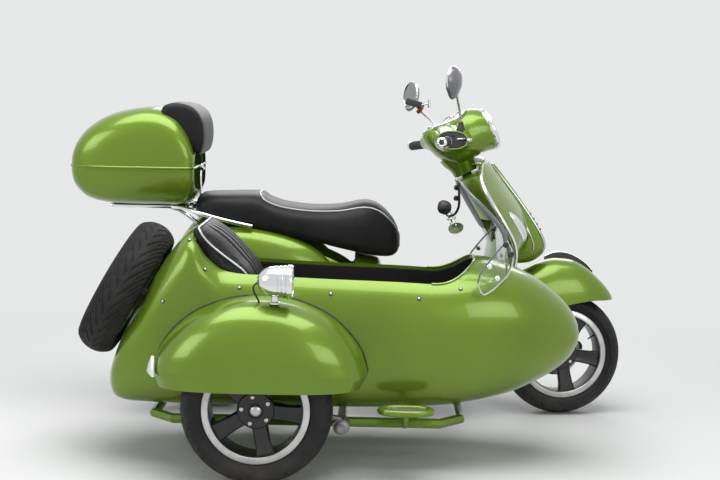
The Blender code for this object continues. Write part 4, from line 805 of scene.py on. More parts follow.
pad_path = rounded(PAD_OUTLINE)
pad_middle = Vector((-0.085, 0.0, 1.09))
outlines = []
for y, grow in (
    (-0.166, 0.8), (-0.164, 0.88), (-0.158, 0.945), (-0.146, 0.985), (-0.1, 1.0), (0.0, 1.012),
    (0.1, 1.0), (0.146, 0.985), (0.158, 0.945), (0.164, 0.88), (0.166, 0.8),
):
    outlines.append([pad_middle + (p - pad_middle) * grow + Vector((0, y, 0)) for p in pad_path])
pad_form = cut_by(skinned(outlines), [loft(eased(CASE_ROWS, stations(CASE_ROWS, 3)), 0.0, 48, -0.0008)])
backrest = piece("backrest_pad", pad_form, black_vinyl, "case_lid", "vinyl", ["case_pad"], sharp=50.0)

# Rear end: a black moulded mudguard below the tail that carries a blank number plate, and a red lamp
# in a chromed surround.
def side_slab(outline, low_y, high_y, bevel=0.003):
    """A side view's (x, z) outline between two places across the vehicle, its edges rounded."""
    bm = extruded([(x, low_y, z) for x, z in outline], (0, high_y - low_y, 0))
    return softened(bm, bm.edges[:], bevel)


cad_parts["rear_mudguard"].data.materials[0] = black_plastic
plate_white = grained(
    "plate_white", (0.62, 0.62, 0.6), (0.5, 0.5, 0.48), 0.35, 300.0, 0.2, 0.00005, 0.0, (0.9, 0.35),
)
plate = box((-0.001, -0.085, -0.075), (0.001, 0.085, 0.075), 0.0008, 2)
plate_turn = Matrix.Translation((-0.2562, 0.0, 0.4625)) @ Matrix.Rotation(atan2(0.1, 0.115), 4, "Y")
plate.transform(plate_turn)
piece("number_plate", plate, plate_white, "scooter", "black_plastic")
bolts = [turned(((0, 0), (0, 6), (3, 5), (4, 0)), plate_turn @ Vector((-0.001, y, 0.055)),
    plate_turn.to_3x3() @ Vector((-1, 0, 0)), 12) for y in (-0.05, 0.05)]
bright_steel = finish("bright_steel", (0.52, 0.52, 0.51), 0.28, 1.0, (0.4, 0.5))[0]
piece("plate_bolts", joined(bolts), bright_steel, "scooter", "chrome")

red_lens, tree, shader, dusty = finish("red_lens", (0.42, 0.01, 0.008), 0.1, 0.0, (0.9, 0.1),
    Coat_Weight=0.6)
pressed(tree, shader, node(tree, "TexVoronoi", Scale=170.0), "Distance", 0.35, 0.0008)
lamp = box((-0.214, -0.054, 0.546), (-0.12, 0.054, 0.599), 0.016, 4)
tail_body = loft(eased(BODY_ROWS, stations(BODY_ROWS, 3)), 0.0, 40, -0.0006)
piece("tail_lens", cut_by(lamp, [tail_body]), red_lens, replaces=["tail_lamp"])
tail_rim = bar([(-0.186, -0.06, 0.541), (-0.186, 0.06, 0.541), (-0.176, 0.062, 0.604),
    (-0.176, -0.062, 0.604), (-0.186, -0.06, 0.541)], 0.0045, 8)
piece("tail_lamp_rim", tail_rim, chrome)

# Rear turn signals: amber lenses let into the tail's flanks
amber_lens = finish("amber_lens", (0.75, 0.16, 0.01), 0.12, 0.0, (0.9, 0.1), Coat_Weight=0.6)[0]
ambers = []
for side in (-1, 1):
    amber = bmesh.new()
    bmesh.ops.create_uvsphere(amber, u_segments=24, v_segments=12, radius=1.0)
    bmesh.ops.scale(amber, vec=(0.04, 0.016, 0.02), verts=amber.verts)
    bmesh.ops.translate(amber, vec=(-0.045, side * 0.148, 0.69), verts=amber.verts)
    ambers.append(amber)
piece("rear_signals", joined(ambers), amber_lens, "scooter", "red_lens")

# Engine and transmission: cast aluminium, with a ribbed belt cover on the left, a finned barrel and
# the rear axle through it.
cast_metal = grained(
    "cast_metal", (0.3, 0.3, 0.29), (0.2, 0.19, 0.18), 0.42, 260.0, 0.5, 0.00025, 0.85, (0.45, 0.6),
)
engine_parts = [
    box((0.264, -0.118, 0.217), (0.498, 0.128, 0.423), 0.018, 4),
    box((-0.083, 0.082, 0.167), (0.418, 0.16, 0.32), 0.03, 5),
    box((0.33, -0.05, 0.4), (0.43, 0.05, 0.4397), 0.006, 2),
    side_slab(((0.3, 0.22), (0.3, 0.3), (0.0, 0.28), (-0.08, 0.28), (-0.08, 0.222), (0.0, 0.212)),
        -0.118, -0.088, 0.004),
    bar([(0, 0.1, REAR_RADIUS), (0, -0.1, REAR_RADIUS)], 0.01, 24),
]
for k in range(9):
    engine_parts.append(box((0.285 + 0.024 * k, -0.1195, 0.24), (0.291 + 0.024 * k, 0.1295, 0.4245),
        0.001, 1))
for x, z, radius in ((0.01, 0.2434, 0.066), (0.3, 0.25, 0.058)):
    engine_parts.append(lathe(((0, 0), (0, radius), (0.006, radius), (0.01, radius - 0.006), (0.01, 0)),
        (x, 0.1595, z), (0, 1, 0), 40))
    for k in range(6):
        a = tau * k / 6
        engine_parts.append(turned(
            ((0, 0), (0, 5.5), (4, 4.5), (4, 0)),
            (x + (radius - 0.01) * cos(a), 0.1655, z + (radius - 0.01) * sin(a)), (0, 1, 0), 6))
for z in (0.198, 0.29):
    engine_parts.append(box((0.07, 0.158, z - 0.004), (0.235, 0.1645, z + 0.004), 0.002, 2))
piece("engine_dressed", joined(engine_parts), cast_metal, replaces=["engine_unit"])

# Silencer: a pressed black can with a perforated heat shield, fed by a pipe from the engine
hot_black = grained("hot_black", (0.018, 0.018, 0.018), (0.045, 0.04, 0.036), 0.48, 340.0, 0.3, 0.0001,
    0.3, (0.4, 0.7))
CAN_ROWS = metres((
    # x, half width, low z, high z, squareness
    (-280, 20, 245, 295, 2.3), (-272, 34, 228, 312, 2.5), (-250, 41, 220, 320, 2.6),
    (-100, 43, 217, 323, 2.6), (50, 43, 216, 324, 2.5), (85, 32, 232, 308, 2.4),
    (115, 16, 250, 288, 2.2), (135, 14.5, 252, 282, 2.0),
), 1)
can = loft(eased(CAN_ROWS, stations(CAN_ROWS, 4)), -0.168, 32)
exhaust = bar([(0.12, -0.168, 0.267), (0.2, -0.168, 0.23), (0.3, -0.15, 0.24), (0.34, -0.1195, 0.26)],
    0.0135, 20, 2)
hanger = box((-0.07, -0.15, 0.235), (-0.03, -0.1185, 0.265), 0.004)
tail_pipe = bar([(-0.262, -0.168, 0.25), (-0.292, -0.168, 0.244)], 0.011, 20)
piece("silencer_can", joined([can, exhaust, hanger, tail_pipe]), hot_black, "scooter", "black_steel",
    ["silencer"])
shield_plate = loft(((-0.215, 0.0445, 0.236, 0.33, 2.6), (-0.205, 0.0465, 0.224, 0.331, 2.6),
    (-0.01, 0.0465, 0.224, 0.331, 2.6), (0.0, 0.0445, 0.236, 0.33, 2.6)), -0.17, 32)
keep = box((-0.3, -0.4, 0.262), (0.2, -0.18, 0.4))
shield_plate = cut_by(shield_plate, [keep], "INTERSECT")
piece("heat_shield", shield_plate, chrome)

# Rear dampers: black tubes inside a coil spring, one at each side of the wheel


def coil(low_end, high_end, first, span, turns, per_turn, reach, thick):
    """A spring about the line between two ends, from a share of its length on."""
    along = (high_end - low_end).normalized()
    side_way = along.orthogonal().normalized()
    other_way = along.cross(side_way)
    count = turns * per_turn
    return bar([
        low_end.lerp(high_end, first + span * k / count)
        + (side_way * cos(tau * k / per_turn) + other_way * sin(tau * k / per_turn)) * reach
        for k in range(count + 1)
    ], thick, 8)


for name, side in (("left", 1), ("right", -1)):
    low_end = Vector((-0.0515, side * 0.1055, 0.325 if side > 0 else 0.283))
    high_end = Vector((-0.0405, side * 0.1105, 0.412))
    along = (high_end - low_end).normalized()
    damper = [
        bar([low_end, low_end.lerp(high_end, 0.55)], 0.0085, 20), bar([low_end, high_end], 0.0045, 14),
        drum(0.0125, 0.006, low_end, along, 24),
        drum(0.0125, 0.006, high_end - along * 0.006, along, 24),
    ]
    damper.append(coil(low_end, high_end, 0.07, 0.86, 6, 14, 0.0105, 0.002))
    piece("rear_damper_" + name, joined(damper), hot_black, "scooter", "black_plastic",
        ["shock_" + name])

# Sidecar hull: a moulded boat-shaped body in the same green, open on top from the seat to the deck,
# with a folded rim, plated studs along its flank and a black welt where the fender meets it.
HULL_Y = -0.655
HULL_ROWS = metres((
    # x, half width, low z, waist z, high z, squareness below and above the waist
    (-243, 150, 230, 280, 330, 2.4, 2.4), (-228, 190, 205, 290, 372, 2.8, 2.8),
    (-190, 220, 192, 320, 463, 3.0, 3.0), (-138, 238, 190, 350, 553, 3.2, 3.2),
    (-86, 250, 190, 380, 648, 3.4, 3.6), (-41, 257, 190, 400, 712, 3.6, 4.2),
    (5, 262, 190, 420, 766, 3.8, 5.0), (35, 264, 190, 430, 774, 3.8, 6.0),
    (55, 265, 190, 435, 760, 3.8, 6.0), (76, 266, 190, 440, 729, 3.8, 5.5),
    (95, 267, 190, 440, 710, 3.8, 5.0), (136, 269, 190, 440, 686, 3.8, 4.0),
    (190, 270, 190, 440, 688, 3.8, 3.2), (270, 271, 190, 440, 696, 3.8, 2.8),
    (450, 272, 190, 440, 695, 3.8, 2.6), (700, 270, 193, 440, 689, 3.7, 2.6),
    (820, 266, 198, 440, 686, 3.6, 2.6), (900, 259, 203, 440, 688, 3.4, 2.6),
    (965, 250, 212, 440, 694, 3.2, 2.6), (1030, 238, 222, 445, 690, 2.9, 2.5),
    (1107, 215, 240, 448, 663, 2.6, 2.5), (1180, 182, 270, 448, 630, 2.4, 2.4),
    (1250, 140, 307, 445, 582, 2.2, 2.2), (1300, 98, 346, 440, 532, 2.1, 2.1),
    (1330, 55, 390, 436, 482, 2.0, 2.0), (1339, 18, 424, 436, 448, 2.0, 2.0),
), 2)
MOUTH_HALF = 0.205
MOUTH_FRONT_X = 0.973
MOUTH_REAR_X = 0.05


def hull_point(row, turn, inset=0.0):
    """A point on the hull's skin at a row, from its turn about the waist."""
    x, half, low_z, waist_z, high_z, square_low, square_high = row
    up = sin(turn)
    square = square_high if up > 0 else square_low
    reach = (high_z - waist_z if up > 0 else waist_z - low_z) - inset
    return Vector((x, HULL_Y + (half - inset) * power(cos(turn), 2 / square),
        waist_z + reach * power(up, 2 / square)))


def hull_form(inset=0.0, per_gap=3, count=64, first_x=-1.0, last_x=2.0):
    """The hull as a closed shell, drawn in by an inset."""
    bm = bmesh.new()
    rows = [row for row in eased(HULL_ROWS, stations(HULL_ROWS, per_gap))
        if first_x <= row[0] <= last_x]
    return bridge(bm, [ring_of(bm, lambda t, r=row: hull_point(r, t, inset), count) for row in rows])


def hull_side(x, z, out=0.0):
    """The near flank's place at a length and height."""
    _, half, low_z, waist_z, high_z, square_low, square_high = eased(HULL_ROWS, [x])[0]
    up = (z - waist_z) / ((high_z - waist_z) if z > waist_z else (waist_z - low_z))
    square = square_high if up > 0 else square_low
    return Vector((x, HULL_Y - (half + out) * max(0.0, 1 - abs(up) ** square) ** (1 / square), z))


def mouth_outline(inset=0.0):
    """The cockpit's edge seen from above, square behind and pointed in a round at the front."""
    outline = [(MOUTH_REAR_X + inset, MOUTH_HALF - inset), (MOUTH_REAR_X + inset, inset - MOUTH_HALF)]
    for k in range(33):
        turn = pi * k / 32 - pi / 2
        outline.append((
            MOUTH_FRONT_X - 0.15 + (0.15 - inset) * power(cos(turn), 0.86),
            (MOUTH_HALF - inset) * power(sin(turn), 0.8),
        ))
    return [(x, HULL_Y + y) for x, y in outline]


def prism(outline, low_z, high_z):
    """A level outline drawn up between two heights."""
    return extruded([(x, y, low_z) for x, y in outline], (0, 0, high_z - low_z))


mouth = prism(mouth_outline(), 0.5, 0.9)
hull_skin = cut_by(hull_form(), [hull_form(0.008, 3, 56, 0.052, 1.27), mouth])
piece("sidecar_hull_skin", hull_skin, green_paint, replaces=["sidecar_hull"], sharp=42.0)

# Cockpit lining: black needle-felt carpet glued to the hull's inner wall up to the rim
black_carpet = grained(
    "black_carpet", (0.008, 0.008, 0.009), (0.016, 0.016, 0.017), 0.95, 520.0, 0.15, 0.0009, 0.0,
    (0.3, 0.35),
    Sheen_Weight=0.25, Sheen_Roughness=0.6,
)
lining = cut_by(hull_form(0.0084, 2, 48, 0.052, 1.27),
    [hull_form(0.0114, 2, 48, 0.056, 1.265), prism(mouth_outline(), 0.5, 0.9)])
piece("cockpit_lining", lining, black_carpet, "scooter", "vinyl", sharp=60.0)
bench_rows = [row for row in eased(HULL_ROWS, stations(HULL_ROWS, 2)) if 0.06 <= row[0] <= 0.64]
bench = bmesh.new()
loops = []
for row in bench_rows:
    def bench_point(t, r=row):
        p = hull_point(r, t, 0.012)
        return Vector((p.x, p.y, min(p.z, 0.3)))
    loops.append(ring_of(bench, bench_point, 48))
bridge(bench, loops)
piece("cockpit_bench", bench, black_carpet, "scooter", "vinyl", sharp=50.0)

# Mouth edge: the rim's rolled fold, the same green, that catches the light as a thin line
rim_path = []
hull_tree = BVHTree.FromBMesh(hull_form(-0.0004, 3, 96))
for x, y in mouth_outline(-0.0005):
    hit, _, _, _ = hull_tree.ray_cast(Vector((x, y, 1.2)), Vector((0, 0, -1)))
    if hit:
        rim_path.append(hit)
rim_path = rim_path[2:]
piece("cockpit_rim", bar(rim_path, 0.0042, 8), green_paint)

stud_places = []
for x, z in ((0.031, 0.757), (0.086, 0.667), (0.198, 0.608), (0.495, 0.594), (0.782, 0.584),
        (0.918, 0.614), (-0.05, 0.56)):
    at = hull_side(x, z)
    ahead_x, up_z = hull_side(x + 0.01, z) - at, hull_side(x, z + 0.01) - at
    outward = ahead_x.cross(up_z).normalized()
    stud_places.append((at, outward if outward.y < 0 else -outward))
studs = []
washers = []
for at, outward in stud_places:
    for mirrored in (False, True):
        here = Vector((at.x, 2 * HULL_Y - at.y, at.z)) if mirrored else at
        way = Vector((outward.x, -outward.y, outward.z)) if mirrored else outward
        washers.append(turned(((0, 0), (0, 7.2), (1.6, 6.8), (2, 0)), here - way * 0.0004, way, 16))
        studs.append(turned(((0, 0), (0, 4.5), (2.6, 4.2), (4.2, 2.2), (4.4, 0)), here + way * 0.0012,
            way, 16))
piece("hull_studs", joined(studs), bright_steel, "scooter", "chrome")
piece("hull_stud_washers", joined(washers), black_plastic)

# Sidecar fender: a glass-fibre dome over the wheel with a crease above its turned-in skirt, bolted to
# the hull's flank; a black sheet just inside it is painted shade, where its green inside lies in shadow.
FENDER_Y = -0.915
FENDER_X = 0.272
FENDER_ROWS = metres((
    # height, half length, reach outwards, squareness
    (308, 330, 203, 3.4), (330, 340, 205.5, 3.3), (350, 347, 207.5, 3.2), (380, 339.5, 206.5, 3.1),
    (420, 325, 203, 3.0), (477, 282, 190, 2.9), (531, 218, 165, 2.7), (566, 140, 126, 2.5),
    (580, 85, 90, 2.3), (586.5, 30, 45, 2.1),
), 1)


def fender_outline(row, inset, low_z, inner_y):
    """A level outline of the fender, an arc outwards and a straight side within the hull."""
    z, half_length, reach, square = row
    outline = [Vector((
        FENDER_X + (half_length - inset) * power(cos(pi * (k + 0.25) / 31.5), 2 / square),
        FENDER_Y - (reach - inset) * power(sin(pi * (k + 0.25) / 31.5), 2 / square),
        low_z if z < 0.309 else z - inset,
    )) for k in range(32)]
    back_x, front_x = outline[-1].x, outline[0].x
    return outline + [Vector((back_x + (front_x - back_x) * k / 7, inner_y, outline[0].z))
        for k in range(8)]


def fender_form(inset=0.0, low_z=0.308, inner_y=-0.865, per_gap=3):
    """The fender's dome as a solid, drawn in by an inset."""
    rows = eased(FENDER_ROWS, stations(FENDER_ROWS, per_gap))
    return skinned([fender_outline(row, inset, low_z, inner_y) for row in rows])


fender_skin = cut_by(fender_form(), [fender_form(0.004, 0.288, -0.85, 2), hull_form(-0.0004, 3, 64)])
piece("sidecar_fender_skin", fender_skin, green_paint, replaces=["sidecar_fender"], sharp=42.0)
# A black sheet just inside the fender's dome: painted shade for the green inside, which lies in shadow
painted_shade_sheet = cut_by(fender_form(0.0042, 0.3082, -0.865, 2),
    [fender_form(0.0056, 0.288, -0.85, 2), hull_form(-0.0008, 3, 64)])
piece("fender_painted_shade", painted_shade_sheet, black_plastic, sharp=42.0)


def fender_meets_hull(z):
    """Half the fender's length where its skin passes into the hull's flank."""
    _, half_length, reach, square = eased(FENDER_ROWS, [z])[0]
    sunk = min(1.0, max(0.0, (FENDER_Y - hull_side(FENDER_X, z).y) / reach))
    return half_length * (1 - sunk ** square) ** (1 / square)


welt = []
for sign in (-1, 1):
    side_path = [hull_side(FENDER_X + sign * fender_meets_hull(z), z, 0.0006) for z in (
        0.309, 0.33, 0.35, 0.38, 0.41, 0.44, 0.47, 0.5, 0.525, 0.545, 0.56, 0.572, 0.5795, 0.584)]
    welt += side_path if sign < 0 else list(reversed(side_path))
welt_rubber = grained("welt_rubber", (0.01, 0.01, 0.011), (0.02, 0.02, 0.021), 0.6, 500.0, 0.3, 0.0001)
piece("fender_welt", bar(welt, 0.0042, 8), welt_rubber, "scooter", "tyre_rubber")

# Side marker: a small faceted clear reflector on the fender's rear corner
corner_points = ((-0.06, -1.012, 0.402), (-0.079, -1.002, 0.35), (-0.052, -1.056, 0.342))
marker = extruded(corner_points, Vector((-0.86, -0.5, 0.1)) * 0.012)
softened(marker, marker.edges[:], 0.002)
piece("side_marker", marker, clear_lens)

# Bullet lamp: a chromed brass shell with three ring grooves behind its clear lens, on a short stem
# screwed to the fender's crown; a black wire loops from its back down into the fender.
shell = turned((
    (0, 0), (1, 10), (6, 22), (14, 32), (26, 41), (42, 47), (60, 49.5), (68, 50), (69, 48.2),
    (71.5, 48.2), (72.5, 50.8), (80, 51.2), (81.2, 49.2), (83.7, 49.2), (85, 52), (93, 52.5),
    (94.2, 50.5), (96.5, 50.5), (98, 54.5), (111, 54.8), (115, 52), (115, 47), (105, 46), (105, 0),
), (0.264, -1.02, 0.651), (1, 0, -0.02), 56)
piece("bullet_lamp_shell", shell, chrome, replaces=["fender_lamp"])
stem = joined([
    turned(((0, 0), (0, 17.5), (4, 17.5), (8, 12.5), (22, 11.5), (30, 13.5), (36, 13.5), (36, 0)),
          (0.3225, -1.02, 0.5785), (0, 0, 1), 28),
    drum(0.01, 0.008, (0.3225, -1.02, 0.5965), (0, 0, 1), 6),
])
piece("bullet_lamp_stem", stem, chrome)
lens_cap = turned(((-2, 0), (-2, 46.2), (3, 46.2), (8, 36), (12, 20), (13.5, 0)), (0.37, -1.02, 0.649),
    (1, 0, -0.02), 48)
piece("bullet_lamp_lens", lens_cap, clear_lens)
wire_points = (
    (0.268, -1.02, 0.644), (0.26, -1.02, 0.64), (0.2545, -1.019, 0.631), (0.254, -1.017, 0.621),
    (0.2575, -1.014, 0.61), (0.263, -1.01, 0.599), (0.268, -1.006, 0.589), (0.271, -1.003, 0.579),
)
wire_path = []
for k in range(29):
    place_on, share = divmod(k / 4, 1)
    a, b, c, d = (Vector(wire_points[min(max(int(place_on) + n, 0), 7)]) for n in (-1, 0, 1, 2))
    wire_path.append(0.5
        * (2 * b + (c - a) * share + (2 * a - 5 * b + 4 * c - d) * share ** 2 + (3 * b - a - 3 * c + d)
            * share ** 3))
black_wire = grained("black_wire", (0.01, 0.01, 0.011), (0.018, 0.018, 0.018), 0.5, 600.0, 0.2, 0.00008)
wire = piece("lamp_wire", bar(wire_path, 0.003, 12), black_wire, "scooter", "black_plastic")

# Sidecar seat back: foam on a shaped board under the same vinyl, bowed across, with sewn flutes down
# its middle and a silver piping round its face.
BACK_EDGE = metres((
    # z, face x at the edge, face x at the middle, rear x
    (404, 276, 305, 160), (440, 276, 310, 120), (520, 258, 290, 80), (600, 232, 256, 60),
    (640, 218, 238, 56), (664, 196, 225, 56), (687, 163, 208, 56), (711, 130, 187, 56),
    (741, 92, 156, 54), (765, 70, 122, 46), (782, 60, 88, 36), (793, 52, 64, 34),
))
BACK_HALF = 0.197


def back_row(z):
    """The seat back's edge face, middle face and rear at a height."""
    return eased([(row[0], *row[1:]) for row in BACK_EDGE], [z])[0]


def back_face(across, z, out=0.0):
    """A point on the seat back's bowed face, from -1 at its near edge to 1 at its far one."""
    _, edge_x, middle_x, _ = back_row(z)
    bow = (1 - abs(across) ** 2.4) ** 0.9
    return Vector((edge_x + (middle_x - edge_x) * bow + out, HULL_Y + across * BACK_HALF,
        z + 0.01 * bow * max(0.0, (z - 0.7) / 0.09)))


outlines = []
for z in [0.404 + (0.793 - 0.404) * k / 30 for k in range(31)]:
    shrink = 1 - 0.1 * max(0.0, (z - 0.74) / 0.053) ** 2
    outline = [back_face(-1 + 2 * k / 30, z) for k in range(31)]
    rear_x = back_row(z)[3]
    outline += [Vector((rear_x, HULL_Y + BACK_HALF * (1 - 2 * k / 10) * 0.97, z)) for k in range(11)]
    outline = [Vector((p.x, HULL_Y + (p.y - HULL_Y) * shrink, p.z)) for p in outline]
    outlines.append(outline)
seat_back = skinned(outlines)


PUFF_FRAMES = 20


def stuffed(bm, cap, press=4.0, voxel=0.005):
    """A cushion's form swelled like foam under its cover: remeshed, puffed as cloth and smoothed."""
    mesh = mesh_of(bm)
    mesh.remesh_voxel_size = voxel
    holder = put("stuffing", mesh)
    bpy.context.view_layer.objects.active = holder
    remesh = holder.modifiers.new("remesh", "REMESH")
    remesh.mode = "VOXEL"
    remesh.voxel_size = voxel
    finer = modified(holder)
    holder.modifiers.clear()
    holder.data = finer
    start = [vert.co.copy() for vert in finer.vertices]
    cloth = holder.modifiers.new("puff", "CLOTH")
    cloth.settings.use_pressure = True
    cloth.settings.uniform_pressure_force = press
    cloth.settings.effector_weights.gravity = 0.0
    cloth.settings.quality = 5
    cloth.settings.tension_stiffness = 40.0
    cloth.settings.compression_stiffness = 40.0
    cloth.settings.bending_stiffness = 8.0
    cloth.point_cache.frame_start = 1
    cloth.point_cache.frame_end = PUFF_FRAMES
    for number in range(1, PUFF_FRAMES + 1):
        bpy.context.scene.frame_set(number)
    puffed = modified(holder)
    bpy.context.scene.frame_set(1)
    made = bmesh.new()
    made.from_mesh(puffed)
    made.verts.ensure_lookup_table()
    for vert, from_co in zip(made.verts, start):
        moved = vert.co - from_co
        if moved.length > cap:
            vert.co = from_co + moved.normalized() * cap
    bpy.data.objects.remove(holder)
    return made


def sewn_channels(bm, lines, depth, reach):
    """Draws the cover in along sewn lines: each gives how far a point lies from it and how strong it is."""
    bm.normal_update()
    moves = []
    for vert in bm.verts:
        pull = 0.0
        for line in lines:
            away, strength = line(vert.co)
            pull = max(pull, strength * exp(-(away / reach) ** 2))
        moves.append(-vert.normal * depth * pull)
    for vert, move in zip(bm.verts, moves):
        vert.co += move
    return bm


def flute(at_y):
    """A vertical channel down the seat back's face."""
    def line(point):
        facing = point.x - (back_row(min(0.79, max(0.41, point.z)))[2]
            + back_row(min(0.79, max(0.41, point.z)))[3]) / 2
        fade = min(1.0, max(0.0, (0.8 - point.z) / 0.02)) * min(1.0, max(0.0, (point.z - 0.46) / 0.04))
        return abs(point.y - (HULL_Y + at_y)), fade if facing > 0 else 0.0
    return line


seat_back = stuffed(seat_back, 0.004, 3.0)
seat_back = sewn_channels(seat_back, [flute(y) for y in (-0.105, -0.063, -0.021, 0.021, 0.063, 0.105)],
    0.006, 0.0055)
seat_back_piece = piece("sidecar_seat_back_pad", seat_back, black_vinyl, "scooter", "vinyl",
    ["sidecar_seat_back"], sharp=60.0)
piping_path = [back_face(-0.985, 0.47 + (0.775 - 0.47) * k / 16, 0.002) for k in range(17)]
piping_path += [back_face(-0.94 + 1.88 * k / 14, 0.7905, -0.001) + Vector((0, 0, 0.004))
    for k in range(15)]
piping_path += flipped(reversed(piping_path[:17]), HULL_Y)
piece("seat_back_piping", bar(piping_path, 0.0034, 8, 1), silver_piping, "scooter", "vinyl")

# Sidecar seat cushion: a crowned foam pad on the cockpit's bench, with the same sewn flutes
outlines = []
for z, grow in ((0.3012, 0.955), (0.308, 0.985), (0.33, 1.0), (0.36, 1.0), (0.382, 0.985),
        (0.396, 0.94), (0.4005, 0.86), (0.4015, 0.6)):
    outline = []
    for k in range(48):
        turn = tau * (k + 0.5) / 48
        outline.append(Vector((
            0.415 + 0.222 * grow * power(cos(turn), 2 / 6), HULL_Y + 0.223 * grow
            * power(sin(turn), 2 / 6), z)))
    outlines.append(outline)
cushion_form = skinned(outlines)


def seat_flute(at_y):
    """A channel along the cushion's top."""
    def line(point):
        fade = min(1.0, max(0.0, (0.625 - point.x) / 0.03)) * min(1.0, max(0.0, (point.x - 0.2) / 0.02))
        return abs(point.y - (HULL_Y + at_y)), fade if point.z > 0.36 else 0.0
    return line


cushion_form = stuffed(cushion_form, 0.005, 3.0)
cushion_form = sewn_channels(cushion_form,
    [seat_flute(y) for y in (-0.105, -0.063, -0.021, 0.021, 0.063, 0.105)], 0.006, 0.006)
cushion_piece = piece("sidecar_cushion_pad", cushion_form, black_vinyl, "scooter", "vinyl",
    ["sidecar_seat_cushion"], sharp=60.0)

# Windscreen: a sheet of acrylic, heated and bowed over the deck, with a grey strip along its edges and
# a pale band inside them; a clear wing plate stands below each end, held by knobs and plated screws.
SCREEN_COLUMNS = (
    # across, foot x, foot z, head x, head z, bow
    (-1.0, 1.08, 0.694, 0.921, 0.944, 0.048), (-0.8, 1.074, 0.656, 0.922, 0.945, 0.056),
    (-0.4, 1.08, 0.65, 0.924, 0.946, 0.05), (0.0, 1.086, 0.662, 0.925, 0.946, 0.042),
    (0.4, 1.08, 0.65, 0.924, 0.946, 0.05), (0.8, 1.074, 0.656, 0.922, 0.945, 0.056),
    (1.0, 1.08, 0.694, 0.921, 0.944, 0.048),
)
SCREEN_HALF = 0.216


def screen_point(across, share, back=0.0):
    """A point on the screen's outside, from its foot to its head."""
    _, foot_x, foot_z, head_x, head_z, bow = eased(SCREEN_COLUMNS, [across])[0]
    share *= 1.0 - 0.15 * abs(across) ** 6
    y = across * SCREEN_HALF * (1 - 0.1 * share)
    up = 1.06 * (1.0001 - min(1.0, share)) / 0.52
    down = 1.06 * (max(0.0, share) + 0.0001) / 0.48
    swell = bow * (up ** -7 + down ** -7) ** (-1 / 7)
    return Vector((foot_x + (head_x - foot_x) * share + swell - back, HULL_Y + y,
        foot_z + (head_z - foot_z) * share))


acrylic, tree, shader = blank("acrylic_sheet")
shader.inputs["Base Color"].default_value = (0.93, 0.95, 0.95, 1.0)
shader.inputs["Roughness"].default_value = 0.03
shader.inputs["IOR"].default_value = 1.49
shader.inputs["Transmission Weight"].default_value = 1.0
place = node(tree, "TexCoord")
scuffs = node(tree, "TexNoise", Scale=38.0, Detail=7.0, Roughness=0.7)
scuff_share = node(tree, "MapRange", From_Min=0.45, From_Max=0.75, To_Min=0.02, To_Max=0.16)
wires(
    tree, (place, "Object", scuffs, "Vector"), (scuffs, "Fac", scuff_share, "Value"),
    (scuff_share, "Result", shader, "Roughness"),
)
outlines = []
for k in range(61):
    across = -1 + 2 * k / 60
    outline = [screen_point(across, n / 10) for n in range(11)] + [screen_point(across, 1 - n / 10,
        0.004) for n in range(11)]
    outlines.append(outline)
screen = skinned(outlines)
piece("windscreen_sheet", cut_by(screen, [hull_form(-0.0004, 3, 64)]), acrylic, "scooter",
    "clear_sheet", ["windscreen"], sharp=50.0)
edge_grey = grained("edge_grey", (0.17, 0.18, 0.19), (0.12, 0.12, 0.13), 0.45, 500.0, 0.3, 0.00008)
edge_run = [screen_point(-0.995, share, 0.002) for share in (0.33, 0.42, 0.5, 0.6, 0.7, 0.8, 0.9, 0.97)]
edge_run += [screen_point(-0.985 + 1.97 * k / 24, 1.0, 0.002) for k in range(25)]
edge_run += [screen_point(0.995, share, 0.002) for share in (0.97, 0.9, 0.8, 0.7, 0.6, 0.5, 0.42, 0.33)]
edge_sizes = [0.0082] * 8 + [0.0042] * 25 + [0.0034] * 8
piece("windscreen_edging", bar(edge_run, edge_sizes, 10), edge_grey, "scooter", "black_plastic")
band_white = grained("band_white", (0.66, 0.7, 0.7), (0.5, 0.53, 0.53), 0.35, 300.0, 0.2, 0.00005)
bands = []
for sign in (-1, 1):
    outlines = []
    for n in range(17):
        share = 0.36 + 0.6 * n / 16
        wide = 0.02 + 0.014 * share
        outline = [screen_point(sign * (0.955 - wide * 2.2 * k / 5), share) + Vector((0.0012, 0, 0))
            for k in range(6)]
        outline += [screen_point(sign * (0.955 - wide * 2.2 * (1 - k / 5)), share)
            + Vector((0.0003, 0, 0)) for k in range(6)]
        outlines.append(outline)
    bands.append(skinned(outlines))
piece("windscreen_bend_bands", cut_by(joined(bands), [hull_form(-0.0006, 2, 48)]), band_white,
    "scooter", "clear_sheet")
WING_OUTLINE = metres((
    # x, z of the wing plate's corners
    (1062, 778), (1081, 745), (1083, 707), (1068, 668), (1042, 640), (1012, 612), (985, 600),
    (970, 640), (976, 668), (990, 690), (1028, 738),
))
WING_OUT = 0.232


def wing_point(x, z, sign, out):
    """A point so far outside a wing plate, which leans out towards its foot."""
    return Vector((x, HULL_Y + sign * (WING_OUT + out + 0.018 * (0.78 - z) / 0.16), z))


